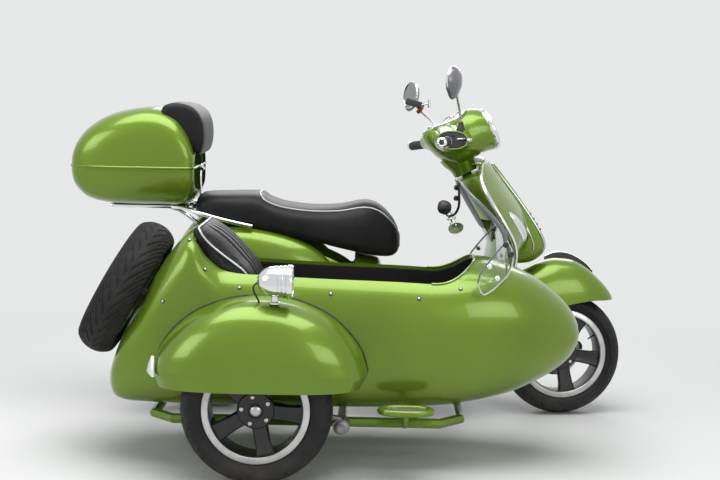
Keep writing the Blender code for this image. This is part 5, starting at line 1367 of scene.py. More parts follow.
wings = []
wing_rims = []
wing_lips = []
screws = []
pads = []
for sign in (-1, 1):
    wing = bmesh.new()
    skin = []
    for out in (0.0, 0.004):
        skin.append([
            wing.verts.new(wing_point(x, z, sign, out)) for x, z in WING_OUTLINE
        ])
    wing.faces.new(skin[0])
    wing.faces.new(list(reversed(skin[1])))
    for k in range(len(WING_OUTLINE)):
        n = (k + 1) % len(WING_OUTLINE)
        wing.faces.new((skin[0][n], skin[0][k], skin[1][k], skin[1][n]))
    bmesh.ops.recalc_face_normals(wing, faces=wing.faces)
    wings.append(wing)
    rim = [wing_point(x, z, sign, 0.002) for x, z in WING_OUTLINE[7:] + WING_OUTLINE[:1]]
    wing_rims.append(bar(rim, 0.003, 8, 1))
    lip = [wing_point(x, z, sign, 0.002) for x, z in WING_OUTLINE[:8]]
    wing_lips.append(bar(lip, 0.0027, 8, 1))
    for x, z, inside in ((1.007, 0.694, 0.03), (1.034, 0.657, 0.024)):
        at = wing_point(x, z, sign, 0.0038)
        screws.append(turned(((-1, 0), (-1, 8.5), (3, 8), (6, 4.5), (6.5, 0)), at, (0, sign, 0), 20))
        pads.append(bar([at - Vector((0, sign * 0.004, 0)), at - Vector((0, sign * inside, 0))], 0.0055,
            12))
    for x, z in ((1.058, 0.766), (1.076, 0.735)):
        at = Vector((x, HULL_Y + sign * (WING_OUT + 0.004), z))
        pads.append(turned(((-34, 0), (-34, 4.5), (0, 4.5), (1, 9.5), (9, 10), (12, 7), (12, 0)), at,
            (0, sign, 0), 20))
piece("windscreen_wing_plates", cut_by(joined(wings), [hull_form(-0.0006, 2, 48)]), acrylic, "scooter",
    "clear_sheet")
piece("windscreen_wing_rims", joined(wing_rims), edge_grey, "scooter", "black_plastic")
piece("windscreen_wing_edges", cut_by(joined(wing_lips), [hull_form(-0.0006, 2, 48)]), band_white,
    "scooter", "clear_sheet")
piece("windscreen_screws", joined(screws), chrome)
piece("windscreen_spacers", joined(pads), black_plastic)

# Wheels: cast aluminium discs in satin black with five broad spokes and a turned silver lip, each
# with a tubeless road tyre. The spare is the same wheel, on a post at the sidecar's tail.
LIP_RADIUS = 0.172
BARREL_RADIUS = 0.156
RIM_HALF = 0.045
TREAD_BLOCKS = 30
GROOVE_DEPTH = 0.0038
STEER_TURN = radians(8.9)
STEERED = (
    VEHICLE @ Matrix.Translation(STEER_POINT) @ Matrix.Rotation(STEER_TURN, 4, STEER_AXIS)
    @ Matrix.Translation(-STEER_POINT)
)


def steered(name, bm, material, slot="", replaces=(), sharp=38.0):
    """A piece that turns with the handlebar, placed as the photo's wheel is turned."""
    return piece(name, bm, material, "steering", slot, replaces, STEERED, sharp)


tyre_rubber = grained(
    "tyre_rubber", (0.008, 0.008, 0.009), (0.017, 0.017, 0.017), 0.66, 480.0, 0.35, 0.00015, 0.0,
    (0.16, 0.25), Specular_IOR_Level=0.3,
)
tread_rubber = grained(
    "tread_rubber", (0.011, 0.011, 0.012), (0.024, 0.023, 0.022), 0.78, 600.0, 0.35, 0.0002, 0.0,
    (0.9, 0.14), Specular_IOR_Level=0.3,
)
black_alloy = grained(
    "black_alloy", (0.006, 0.006, 0.007), (0.011, 0.011, 0.011), 0.36, 900.0, 0.4, 0.00006, 0.2,
    (0.22, 0.2), Coat_Weight=0.2,
)
silver_lip = grained(
    "silver_lip", (0.6, 0.6, 0.6), (0.42, 0.42, 0.41), 0.3, 700.0, 0.3, 0.00005, 0.85, (0.2, 0.45),
)


def tyre(radius, width, arrows):
    """A tyre spun from its section, then its tread's grooves pressed in, point by point."""
    shoulder = radius - 0.03
    half = [
        (BARREL_RADIUS + 0.0003, RIM_HALF - 0.0003), (LIP_RADIUS - 0.004, RIM_HALF - 0.0003),
        (LIP_RADIUS + 0.003, RIM_HALF + 0.0012), (LIP_RADIUS + 0.006, RIM_HALF + 0.0045),
        (LIP_RADIUS + 0.018, width / 2 - 0.006), (radius - 0.046, width / 2 - 0.001),
        (radius - 0.038, width / 2), (radius - 0.03, width / 2 - 0.0018),
        (radius - 0.022, width / 2 - 0.007),
    ]
    crown = []
    count = 15
    for k in range(1, count + 1):
        y = (width / 2 - 0.007) * (1 - k / count)
        share = y / (width / 2 - 0.007)
        crown.append((radius - 0.022 * share ** 2.2, y))
    section = half + crown
    section += [(r, -y) for r, y in reversed(section[:-1])]
    steps = 360
    bm = lathe([(y, r) for r, y in section], (0, 0, 0), (0, 1, 0), steps, closed=True)
    pitch = tau / TREAD_BLOCKS
    for vert in bm.verts:
        r = hypot(vert.co.x, vert.co.z)
        if r < shoulder + 0.004:
            continue
        turn = atan2(vert.co.z, vert.co.x) % tau
        across = vert.co.y / (width / 2)
        side = 1 if across > 0 else -1
        place_y = abs(across)
        if arrows:
            lean = turn + place_y * 0.52
            phase = (lean / pitch + (0.5 if side > 0 else 0.0)) % 1.0
            groove = 0.1 < place_y < 0.92 and abs(phase - 0.5) < 0.13
            short = place_y > 0.5 and abs((phase + 0.5) % 1.0 - 0.5) < 0.1
            cut = groove or short
        else:
            lean = turn + place_y * 0.22
            phase = (lean / pitch + (0.5 if side > 0 else 0.0)) % 1.0
            cut = (0.34 < place_y < 0.95 and abs(phase - 0.5) < 0.14) or 0.17 < place_y < 0.23
        if cut:
            scale = (r - GROOVE_DEPTH) / r
            vert.co.x *= scale
            vert.co.z *= scale
    bm.normal_update()
    return bm


def wheel_parts(face, first_turn, hub_reach):
    """The rim in three finishes: cast disc, turned lip, and plated fasteners; face is 1 or -1 along y."""
    barrel = lathe([(y, r) for r, y in (
        (0.15, RIM_HALF), (0.17, RIM_HALF), (0.17, RIM_HALF + 0.003), (0.148, RIM_HALF + 0.003),
        (0.148, 0.03), (0.1465, -0.03), (0.148, -RIM_HALF - 0.003), (0.17, -RIM_HALF - 0.003),
        (0.17, -RIM_HALF), (BARREL_RADIUS, -RIM_HALF), (BARREL_RADIUS, -0.02), (0.152, 0.0),
        (BARREL_RADIUS, 0.02), (BARREL_RADIUS, RIM_HALF),
    )], (0, 0, 0), (0, 1, 0), 72, closed=True)
    front = face * (RIM_HALF - 0.004)
    spokes = []
    for k in range(5):
        middle = first_turn + tau * k / 5
        outlines = []
        for reach, half_wide, sink, deep in (
            (0.04, 0.027, 0.006, 0.022), (0.058, 0.026, 0.005, 0.021), (0.085, 0.0255, 0.003, 0.019),
            (0.115, 0.0275, 0.001, 0.018), (0.138, 0.0315, 0.0, 0.018), (0.1505, 0.0345, 0.0, 0.019),
        ):
            outline = []
            for across, level in (
                (-1.0, 1.0), (-0.96, 0.25), (-0.8, 0.0), (-0.45, 0.06), (0.0, 0.16), (0.45, 0.06),
                (0.8, 0.0), (0.96, 0.25), (1.0, 1.0), (0.5, 1.0), (0.0, 1.0), (-0.5, 1.0),
            ):
                y = front - face * (sink + deep * level)
                at = Vector((reach * cos(middle) - across * half_wide * sin(middle), y,
                             reach * sin(middle) + across * half_wide * cos(middle)))
                outline.append(at)
            outlines.append(outline)
        spokes.append(skinned(outlines))
    hub = lathe([(front - face * d, r) for d, r in (
        (0.006, 0.0), (0.006, 0.0235), (0.002, 0.025), (0.002, 0.056), (0.006, 0.06), (0.02, 0.061),
        (0.028, 0.054), (0.03, 0.03), (abs(front) + hub_reach, 0.03), (abs(front) + hub_reach, 0.0106),
        (0.02, 0.0106), (0.02, 0.0),
    )], (0, 0, 0), (0, 1, 0), 48)
    cast = joined([barrel, hub, *spokes])
    lips = []
    for side in (-1, 1):
        lips.append(lathe([(side * y, r) for y, r in (
            (RIM_HALF + 0.0028, 0.1505), (RIM_HALF + 0.005, 0.1525), (RIM_HALF + 0.005, 0.17),
            (RIM_HALF + 0.0035, 0.172), (RIM_HALF + 0.0005, 0.172), (RIM_HALF + 0.0005, 0.17),
            (RIM_HALF + 0.0028, 0.169),
        )], (0, 0, 0), (0, 1, 0), 96, closed=True))
    plated = [lathe([(front - face * d, r) for d, r in (
        (0.0062, 0), (0.0062, 0.0205), (0.0, 0.0195), (-0.006, 0.015), (-0.0085, 0.007), (-0.0088, 0))],
        (0, 0, 0), (0, 1, 0), 32)]
    for k in range(5):
        turn = first_turn + tau * (k + 0.5) / 5
        centre = Vector((0.045 * cos(turn), front - face * 0.002, 0.045 * sin(turn)))
        plated.append(turned(((0, 0), (0, 6.8), (5, 6.2), (6.8, 3), (6.8, 0)), centre, (0, face, 0),
            12))
    valve_turn = first_turn + tau * 0.5 / 5
    along = Vector((cos(valve_turn), 0, sin(valve_turn)))
    stem = bar([along * 0.1475 + Vector((0, face * 0.012, 0)),
        along * 0.122 + Vector((0, face * 0.02, 0))], 0.003, 10)
    return cast, joined(lips), joined(plated), stem


SLOPE = atan2(0.257, 0.47)
SPARE_PLACE = (
    VEHICLE @ Matrix.Translation((-0.213, HULL_Y, 0.566)) @ Matrix.Rotation(-(pi / 2 - SLOPE), 4, "Y")
    @ Matrix.Rotation(pi / 2, 4, "X")
)
for name, place_at, radius, width, face, first_turn, body, hub_reach, arrows in (
    ("front", STEERED @ Matrix.Translation((WHEELBASE, 0, FRONT_RADIUS)), FRONT_RADIUS, 0.12, -1, -0.16,
        "front_wheel", 0.06, False),
    ("rear", VEHICLE @ Matrix.Translation((0, 0, REAR_RADIUS)), REAR_RADIUS, 0.13, -1, 0.4,
        "rear_wheel", 0.06, False),
    ("sidecar", VEHICLE @ Matrix.Translation((0.269, -1.0286, REAR_RADIUS)), REAR_RADIUS, 0.13, -1,
        -0.087, "sidecar_wheel", 0.06, False),
    ("spare", SPARE_PLACE, REAR_RADIUS, 0.13, 1, 0.3, "scooter", 0.03, True),
):
    cast, lips, plated, stem = wheel_parts(face, first_turn, hub_reach)
    piece(name + "_road_tyre", tyre(radius, width, arrows), tread_rubber if arrows else tyre_rubber,
        body, "tyre_rubber", [name + "_tyre"], place_at, 30.0)
    piece(name + "_cast_rim", cast, black_alloy, body, "black_alloy", [name + "_rim"], place_at)
    piece(name + "_rim_lips", lips, silver_lip, body, "chrome", (), place_at)
    piece(name + "_wheel_bolts", plated, bright_steel, body, "chrome", (), place_at)
    piece(name + "_valve", stem, black_plastic, body, "tyre_rubber", (), place_at)

# Steering column and leg: a painted steel tube that bends past the wheel on the left, with a trailing
# link on its lower end, a coil damper ahead of it, and a drilled brake disc under its caliper.
LINK_Y = 0.096
LINK_PIVOT = Vector((1.462, LINK_Y, 0.246))
FRONT_AXLE = Vector((WHEELBASE, 0.0, FRONT_RADIUS))
steel_grey = grained(
    "steel_grey", (0.055, 0.055, 0.058), (0.1, 0.095, 0.09), 0.42, 400.0, 0.3, 0.0001, 0.6, (0.4, 0.5),
)
LEG_BENDS = [on_axis(0.572), (1.2, 0.014, 0.51), (1.25, 0.062, 0.47), (1.32, LINK_Y, 0.4),
    (1.42, LINK_Y, 0.31)]
column = joined([
    bar([on_axis(0.56), on_axis(1.0247)], 0.0198, 32),
    bar([*LEG_BENDS, LINK_PIVOT], 0.0168, 20, 2),
    turned(((0, 0), (0, 24), (4, 26), (30, 26), (34, 24), (34, 0)), LINK_PIVOT - Vector((0, 0.017, 0)),
        (0, 1, 0), 32),
])
steered("fork_leg", column, steel_grey, "cast_metal", ["steering_column"])
link_end = Vector((WHEELBASE - 0.03, LINK_Y, FRONT_RADIUS))
link = joined([
    bar([LINK_PIVOT, Vector((WHEELBASE, LINK_Y, FRONT_RADIUS)), link_end], 0.0158, 20),
    bar([FRONT_AXLE + Vector((0, LINK_Y, 0)), FRONT_AXLE + Vector((0, -0.03, 0))], 0.0098, 24),
    turned(((0, 0), (0, 21), (3, 23), (22, 23), (25, 21), (25, 0)), FRONT_AXLE + Vector((0, 0.084, 0)),
        (0, 1, 0), 32),
    drum(0.012, 0.01, FRONT_AXLE + Vector((0, 0.108, 0)), (0, 1, 0), 6),
])
steered("trailing_link", link, cast_metal, replaces=["front_link"])
foot, head = Vector((1.352, LINK_Y, 0.254)), Vector((1.312, LINK_Y, 0.388))
along = (head - foot).normalized()
front_damper = joined([
    bar([foot, foot.lerp(head, 0.6)], 0.011, 20), bar([foot, head], 0.0055, 14),
    coil(foot, head, 0.08, 0.8, 7, 16, 0.0145, 0.0024),
    drum(0.0165, 0.006, foot + along * 0.004, along, 24),
    drum(0.0165, 0.006, head - along * 0.014, along, 24),
])
steered("front_coil_damper", front_damper, hot_black, "black_plastic", ["front_damper"])
brake_steel = grained("brake_steel", (0.42, 0.41, 0.4), (0.3, 0.28, 0.26), 0.33, 900.0, 0.5, 0.00006,
    0.95, (0.1, 0.2))
disc = turned(((62.5, 68), (62.5, 98), (66.5, 98), (66.5, 68)), FRONT_AXLE, (0, 1, 0), 96, closed=True)
holes = []
for k in range(24):
    turn = tau * k / 24
    reach = 0.076 + 0.007 * (k % 3)
    centre = FRONT_AXLE + Vector((reach * cos(turn), 0.055, reach * sin(turn)))
    holes.append(bar([centre, centre + Vector((0, 0.02, 0))], 0.0032, 12))
disc = cut_by(disc, [joined(holes)])
carrier = [turned(((59.5, 12), (59.5, 34), (65.5, 34), (65.5, 12)), FRONT_AXLE, (0, 1, 0), 40,
    closed=True)]
for k in range(5):
    turn = tau * k / 5
    way = Vector((cos(turn), 0, sin(turn)))
    carrier.append(bar([FRONT_AXLE + way * 0.028 + Vector((0, 0.0625, 0)),
        FRONT_AXLE + way * 0.072 + Vector((0, 0.0645, 0))], 0.0052, 10))
piece("brake_disc", joined([disc, *carrier]), brake_steel, "front_wheel", "cast_metal", (), STEERED)
jaws = []
for low_y, high_y, first, last, spread in ((0.05, 0.0575, 0.058, 0.116, 17),
        (0.0715, 0.0822, 0.058, 0.116, 17), (0.0535, 0.08, 0.1036, 0.1155, 15)):
    outline = []
    for reach, way in ((last, 1), (first, -1)):
        for k in range(9):
            turn = radians(128 + spread * way * (k / 4 - 1))
            outline.append((FRONT_AXLE.x + reach * cos(turn), FRONT_AXLE.z + reach * sin(turn)))
    jaw = extruded([(x, low_y, z) for x, z in outline], (0, high_y - low_y, 0))
    jaws.append(softened(jaw, [edge for edge in jaw.edges if edge.calc_face_angle(0) > 0.8], 0.0022, 3))
caliper = joined([
    *jaws,
    box((1.326, 0.0722, 0.228), (1.355, 0.082, 0.276), 0.004),
    turned(((0, 0), (0, 13.5), (4, 13), (4.5, 11), (4.5, 0)), (1.318, 0.0818, 0.303), (0, 1, 0), 28),
    drum(0.0048, 0.005, (1.346, 0.0818, 0.262), (0, 1, 0), 6),
    drum(0.0048, 0.005, (1.334, 0.0818, 0.24), (0, 1, 0), 6),
])
steered("brake_caliper", caliper, cast_metal)

# Front fender: a pressed steel hood with a ridge along its crown that ends in a point over the tyre
FENDER_HOOD_ROWS = metres((
    # x, half width, low z, high z
    (1175, 86, 424, 518), (1195, 90, 420, 542), (1225, 93, 416, 566), (1270, 95, 416, 590),
    (1320, 95.5, 420, 604.5), (1356, 95, 426, 607.5), (1415, 93, 438, 600), (1474, 84, 446, 568),
    (1526, 63, 446, 522), (1556, 40, 446, 488), (1572, 18, 446, 465), (1577, 5, 447, 455),
))


def hood_outline(row, inset=0.0, drop=0.0):
    """A hood's section: two flat cheeks under a crown with a soft ridge."""
    x, half, low_z, high_z = row
    crest = 0.0045 * min(1.0, (high_z - low_z) / 0.1)
    outline = []
    for k in range(33):
        turn = pi * k / 32
        y = (half - inset) * power(cos(turn), 0.8)
        ridge = crest * exp(-((y / max(0.004, half * 0.16)) ** 2))
        z = low_z + (high_z - low_z - inset - crest) * power(sin(turn), 0.88) + ridge
        outline.append(Vector((x, y, z)))
    if drop:
        outline[0].z -= drop
        outline[-1].z -= drop
    return outline


hood = skinned([hood_outline(row) for row in eased(FENDER_HOOD_ROWS, stations(FENDER_HOOD_ROWS, 4))])
hollow_rows = eased(FENDER_HOOD_ROWS, stations(FENDER_HOOD_ROWS, 2))[:-3]
hollow_rows = [(row[0] - (0.02 if k == 0 else 0.0), *row[1:]) for k, row in enumerate(hollow_rows)]
hollow = skinned([hood_outline(row, 0.003, 0.03) for row in hollow_rows])
leg_room = bar([on_axis(0.55), on_axis(0.7)], 0.0203, 24)
leg_bend = bar(LEG_BENDS, 0.0176, 16, 2)
hood = cut_by(hood, [hollow, leg_room, leg_bend])
steered("front_fender_hood", hood, green_paint, replaces=["front_fender"], sharp=40.0)
crest_path = [(1.318, 0.062, 0.61), (1.352, 0.064, 0.626), (1.398, 0.062, 0.628), (1.444, 0.058, 0.612),
    (1.484, 0.05, 0.584), (1.508, 0.043, 0.556)]
outlines = []
crest_line = [Vector(p) for p in crest_path]
for _ in range(2):
    crest_line = [crest_line[0]] + [a.lerp(b, t) for a, b in zip(crest_line, crest_line[1:])
        for t in (0.25, 0.75)] + [crest_line[-1]]
hood_rows_fine = eased(FENDER_HOOD_ROWS, [p.x for p in crest_line])
for point, row in zip(crest_line, hood_rows_fine):
    base = Vector((point.x, point.y, min(point.z - 0.001, row[3] - 0.012)))
    outline = [point + Vector((0, -0.004, 0)), point + Vector((0, 0.004, 0)),
        base + Vector((0, 0.005, 0)), base + Vector((0, -0.005, 0))]
    outlines.append(outline)
crest = skinned(outlines)
steered("fender_crest", crest, black_plastic)
steered("fender_crest_trim", bar(crest_path, 0.0036, 10, 2), chrome)

# Headset: the two-part housing over the handlebar, sprayed green, with an arched hood over each
# control, a neck that turns above the shield, and the headlamp in its nose.
HEADSET_ROWS = metres((
    # x, half width, low z, high z, squareness
    (812, 16, 1062, 1088, 2.1), (822, 40, 1044, 1097, 2.2), (840, 62, 1022, 1105, 2.4),
    (868, 82, 996, 1116, 2.6), (900, 96, 976, 1128, 2.7), (930, 105, 966, 1144, 2.7),
    (950, 109, 964, 1164, 2.6), (972, 110, 972, 1178, 2.5), (1000, 108, 988, 1183.5, 2.4),
    (1040, 101, 1010, 1182, 2.2), (1075, 93, 1024, 1172, 2.1), (1110, 84, 1030, 1150, 2.0),
), 1)
LAMP_LEAN = atan2(1.112 - 1.038, 1.182 - 1.026)
LAMP_FACE = Vector((cos(LAMP_LEAN), 0.0, sin(LAMP_LEAN)))
LAMP_AT = Vector((1.066, 0.0, 1.104))
pod = loft(eased(HEADSET_ROWS, stations(HEADSET_ROWS, 4)), 0.0, 56)
trim = bmesh.ops.bisect_plane(
    pod, geom=pod.verts[:] + pod.edges[:] + pod.faces[:], plane_co=LAMP_AT - LAMP_FACE * 0.0122,
    plane_no=LAMP_FACE, clear_outer=True,
)
bmesh.ops.contextual_create(pod,
    geom=[item for item in trim["geom_cut"] if isinstance(item, bmesh.types.BMEdge)])
bmesh.ops.recalc_face_normals(pod, faces=pod.faces)
ARM_ROWS = metres((
    # y, middle x, middle z, half length, half height
    (20, 930, 1066, 80, 58), (85, 914, 1062, 76, 54), (120, 906, 1060, 68, 47),
    (155, 898, 1058, 62, 40), (186, 891, 1056, 58, 35),
))


def arm_form(side, inset=0.0, first_y=0.0, beyond=0.0):
    """An arm of the headset from the pod to the mouth of its hood."""
    bm = bmesh.new()
    rows = [row for row in eased(ARM_ROWS, stations(ARM_ROWS, 3)) if row[0] >= first_y]
    if beyond:
        rows.append((rows[-1][0] + beyond, *rows[-1][1:]))
    loops = []
    for y, x, z, long, tall in rows:
        loops.append(ring_of(bm, lambda t, c=(x, side * y, z), l=long - inset, h=tall - inset: Vector((
            c[0] + l * power(cos(t), 0.86), c[1], c[2] + h * power(sin(t), 0.86))), 40))
    return bridge(bm, loops)


neck = turned((
    (0, 0), (0, 46), (4, 48), (30, 52), (55, 66), (80, 74), (80, 0)),
    on_axis(NECK_Z), STEER_AXIS, 48)
pod = cut_by(pod, [arm_form(-1), arm_form(1), neck], "UNION")
recess = [arm_form(side, 0.0045, 0.118, 0.02) for side in (-1, 1)]
socket = bar([on_axis(0.9), on_axis(1.0253)], 0.0203, 32)
pod = cut_by(pod, [*recess, socket])
steered("headset_shell", pod, green_paint, replaces=["headset"], sharp=32.0)
lamp_bowl = turned((
    (-11.8, 0), (-11.8, 79.5), (-2, 83.8), (4, 84.8), (8.5, 84), (8.5, 81.2), (0, 80), (0, 0)),
    LAMP_AT, LAMP_FACE, 72)
steered("headlamp_bezel", lamp_bowl, chrome)
lamp_lens = turned((
    (3.5, 0), (3.5, 80), (11, 80.6), (18, 71), (22.5, 50), (25, 26), (25.8, 0)),
    LAMP_AT, LAMP_FACE, 64)
steered("headlamp_lens", lamp_lens, clear_lens, replaces=["headlamp"])

# Instruments: a clear-topped dial in a chromed ring, let into the headset's rider side
dial_face = Vector((-0.66, 0.0, 0.75)).normalized()
dial_at = Vector((0.888, 0.0, 1.118))
dial_ring = turned(((-4, 47), (4, 49), (9, 47), (9, 43), (2, 42), (-4, 42)), dial_at, dial_face, 48,
    closed=True)
trim_path = [(0.842, -0.046, 1.104), (0.868, -0.066, 1.114), (0.9, -0.078, 1.126), (0.93, -0.08, 1.142),
    (0.955, -0.07, 1.163), (0.968, -0.05, 1.174)]
trim_bars = [bar([(x, sign * -y, z + 0.0015) for x, y, z in trim_path], 0.0045, 10, 2)
    for sign in (-1, 1)]
steered("instrument_trim", joined([dial_ring, *trim_bars]), chrome)
dial = turned(((-5, 0), (-5, 42.5), (3, 42.5), (6, 30), (6.8, 0)), dial_at, dial_face, 48)
dial_glass = grained("dial_glass", (0.02, 0.02, 0.022), (0.03, 0.03, 0.03), 0.08, 200.0, 0.1, 0.00001,
    0.0, (0.9, 0.05), Coat_Weight=1.0)
steered("instrument_dial", dial, dial_glass, "black_plastic")

# Handlebar: a steel bar under ribbed rubber grips with silver collars and ends; each control housing
# is black plastic, deep inside its hood.
BAR_POINTS = ((0.8195, 0.344, 1.041), (0.858, 0.228, 1.047), (0.9, 0.12, 1.06), (0.918, 0.0, 1.07))
housings = []
tubes = []
grips = []
ends = []
for side in (-1, 1):
    points = [Vector((x, side * y, z)) for x, y, z in BAR_POINTS]
    tubes.append(bar(points[:1] + points[1:3] + points[3:], 0.0098, 20, 1))
    outer, inner = points[0], points[1]
    along = (outer - inner).normalized()
    grip_from = inner - along * 0.034
    profile = [(0.0, 0.0), (0.0, 0.0165), (0.004, 0.0185)]
    for k in range(14):
        start = 0.01 + 0.0085 * k
        profile += [(start, 0.0168), (start + 0.002, 0.0178), (start + 0.0055, 0.0178),
            (start + 0.0075, 0.0168)]
    profile += [(0.136, 0.017), (0.136, 0.0)]
    grips.append(lathe(profile, grip_from, along, 32))
    ends.append(turned(((0, 0), (0, 19.5), (4, 20.5), (9, 20.5), (12, 19), (12, 0)),
        grip_from + along * 0.001, along, 32))
    ends.append(turned((
        (134, 0), (134, 18.2), (139, 19.2), (150, 18.6), (156, 16), (158, 12), (154.5, 7),
        (153, 0)), grip_from, along, 32))
    wall = arm_form(side, 0.0068, 0.122, -0.001)
    housings.append(wall)
    for dx, dz, size in ((-0.03, 0.004, 0.008), (-0.03, -0.012, 0.007), (0.004, 0.018, 0.007)):
        at = Vector((0.891 + dx, side * 0.182, 1.056 + dz))
        housings.append(box(at - Vector((size, 0.006, size * 0.7)),
            at + Vector((size, 0.008, size * 0.7)), 0.003))
steered("bar_tube", joined(tubes), steel_grey, "black_plastic", ["handlebar"])
grip_rubber = grained("grip_rubber", (0.013, 0.013, 0.014), (0.03, 0.028, 0.027), 0.66, 900.0, 0.6,
    0.0002, 0.0, (0.9, 0.1))
steered("hand_grips", joined(grips), grip_rubber, "black_plastic")
steered("grip_ends", joined(ends), chrome)
steered("control_housings", joined(housings), black_plastic)

# Levers: cast aluminium blades that end in a ball, pivoted in the control housings
for name, side in (("left", 1), ("right", -1)):
    blade = bmesh.new()
    path = [Vector(p) for p in (
        (0.905, side * 0.176, 1.058), (0.93, side * 0.19, 1.06), (0.946, side * 0.215, 1.06),
        (0.948, side * 0.245, 1.058),
        (0.94, side * 0.285, 1.054), (0.924, side * 0.322, 1.051))]
    for _ in range(2):
        path = [path[0]] + [a.lerp(b, t) for a, b in zip(path, path[1:])
            for t in (0.25, 0.75)] + [path[-1]]
    loops = []
    for i, point in enumerate(path):
        ahead_way = (path[min(i + 1, len(path) - 1)] - path[max(i - 1, 0)]).normalized()
        across_way = ahead_way.cross(Vector((0, 0, 1))).normalized()
        share = i / (len(path) - 1)
        wide, tall = 0.0072 - 0.002 * share, 0.0056 - 0.0012 * share
        loops.append(ring_of(blade, lambda t, p=point, a=across_way, w=wide,
            h=tall: p + a * w * cos(t) + Vector((0, 0, 1)) * h * sin(t), 16))
    bridge(blade, loops)
    ball = bmesh.new()
    bmesh.ops.create_uvsphere(ball, u_segments=20, v_segments=12, radius=0.0085)
    bmesh.ops.translate(ball, vec=path[-1], verts=ball.verts)
    pivot = drum(0.007, 0.01, (0.908, side * 0.178, 1.053), (0, 0, 1), 20)
    steered("brake_lever_" + name, joined([blade, ball, pivot]), bright_steel, "chrome",
        ["lever_" + name])

# Mirrors: a round glass in a chromed shell on a bent plated stem, each on a rubber boot in the hood
mirror_glass, tree, shader = blank("mirror_glass")
shader.inputs["Metallic"].default_value = 1.0
place = node(tree, "TexCoord")
spots = node(tree, "TexNoise", Scale=90.0, Detail=4.0)
spotty = node(tree, "MapRange", From_Min=0.55, From_Max=0.8, To_Min=0.02, To_Max=0.2)
silvering = node(tree, "Mix", data_type="RGBA", A=(0.36, 0.36, 0.37, 1.0), B=(0.28, 0.28, 0.28, 1.0))
wires(
    tree, (place, "Object", spots, "Vector"), (spots, "Fac", spotty, "Value"),
    (spotty, "Result", shader, "Roughness"), (spots, "Fac", silvering, "Factor"),
    (silvering, "Result", shader, "Base Color"),
)
shell_grey = grained("shell_grey", (0.2, 0.2, 0.215), (0.13, 0.13, 0.14), 0.3, 500.0, 0.2, 0.00006,
    0.55, (0.9, 0.1), Coat_Weight=0.5)
for name, side, centre, facing, stem_points in (
    ("right", -1, Vector((0.874, -0.3, 1.2655)), Vector((-0.8, 0.58, 0.06)), (
        (0.926, -0.164, 1.092), (0.922, -0.172, 1.15), (0.906, -0.215, 1.185), (0.89, -0.27, 1.2),
        (0.882, -0.296, 1.222), (0.882, -0.3, 1.25))),
    ("left", 1, Vector((0.817, 0.3, 1.246)), Vector((-0.93, -0.34, 0.1)), (
        (0.892, 0.158, 1.088), (0.892, 0.164, 1.12), (0.88, 0.19, 1.14), (0.852, 0.252, 1.172),
        (0.834, 0.288, 1.2), (0.828, 0.299, 1.23))),
):
    facing = facing.normalized()
    shell = turned((
        (-20, 0), (-18.5, 16), (-14, 34), (-6, 48), (2, 53.5), (7, 55), (9.5, 54.5),
        (9.5, 51.5), (5, 51), (5, 0)), centre, facing, 56)
    upright = Vector((0, 0, 1))
    for vert in shell.verts:
        away = vert.co - centre
        low = max(0.0, -away.dot(upright)) / 0.055
        vert.co += -upright * 0.012 * low ** 3
    steered("mirror_shell_" + name, shell, shell_grey, "chrome", ["mirror_" + name])
    rim = turned(((3.5, 54.5), (7.5, 56.6), (11.5, 55), (11.5, 52), (6, 51.5)), centre, facing, 56,
        closed=True)
    steered("mirror_rim_" + name, rim, chrome)
    glass = turned(((5, 0), (5, 51.2), (8.5, 51.2), (9.5, 30), (9.8, 0)), centre, facing, 48)
    steered("mirror_glass_" + name, glass, mirror_glass, "chrome")
    steered("mirror_stem_" + name, bar(stem_points, 0.0048, 14, 2), bright_steel, "chrome")
    boot_at = Vector(stem_points[0])
    boot = turned(((0, 0), (0, 16.5), (6, 16.5), (14, 12.5), (30, 8.5), (34, 7), (34, 0)), boot_at,
        (0.0, side * 0.06, 1.0), 28)
    steered("mirror_boot_" + name, boot, black_plastic)

# Phone cradle: a black sprung jaw on a plated strut, held to the left mirror's stem by a copper clamp
cradle_turn = Matrix.Translation((0.822, 0.262, 1.206)) @ Matrix.Rotation(radians(-18), 4,
    "Z") @ Matrix.Rotation(radians(16), 4, "Y")
cradle_plate = box((-0.034, -0.036, -0.006), (0.034, 0.036, 0.006), 0.004)
jaw_far = box((-0.032, -0.046, -0.008), (0.032, -0.036, 0.018), 0.003)
jaw_near = box((-0.032, 0.036, -0.008), (0.032, 0.046, 0.018), 0.003)
cradle = joined([cradle_plate, jaw_far, jaw_near])
cradle.transform(cradle_turn)
steered("phone_cradle", cradle, black_plastic)
strut = bar([(0.836, 0.262, 1.204), (0.878, 0.25, 1.212)], 0.0034, 12)
strut_tip = bar([(0.878, 0.25, 1.196), (0.878, 0.25, 1.228)], 0.0052, 14)
steered("cradle_strut", joined([strut, strut_tip]), bright_steel, "chrome")
copper, tree, shader, dusty = finish("copper_clamp", (0.42, 0.13, 0.06), 0.34, 0.9, (0.9, 0.1))
pressed(tree, shader, node(tree, "TexNoise", Scale=120.0, Detail=4.0), "Fac", 0.3, 0.0003)
clamp = joined([
    bar([(0.838, 0.272, 1.178), (0.844, 0.262, 1.186), (0.848, 0.254, 1.196)], 0.0095, 16, 1),
    bar([(0.842, 0.27, 1.182), (0.842, 0.27, 1.2)], 0.006, 12),
])
steered("cradle_clamp", clamp, copper, "chrome")

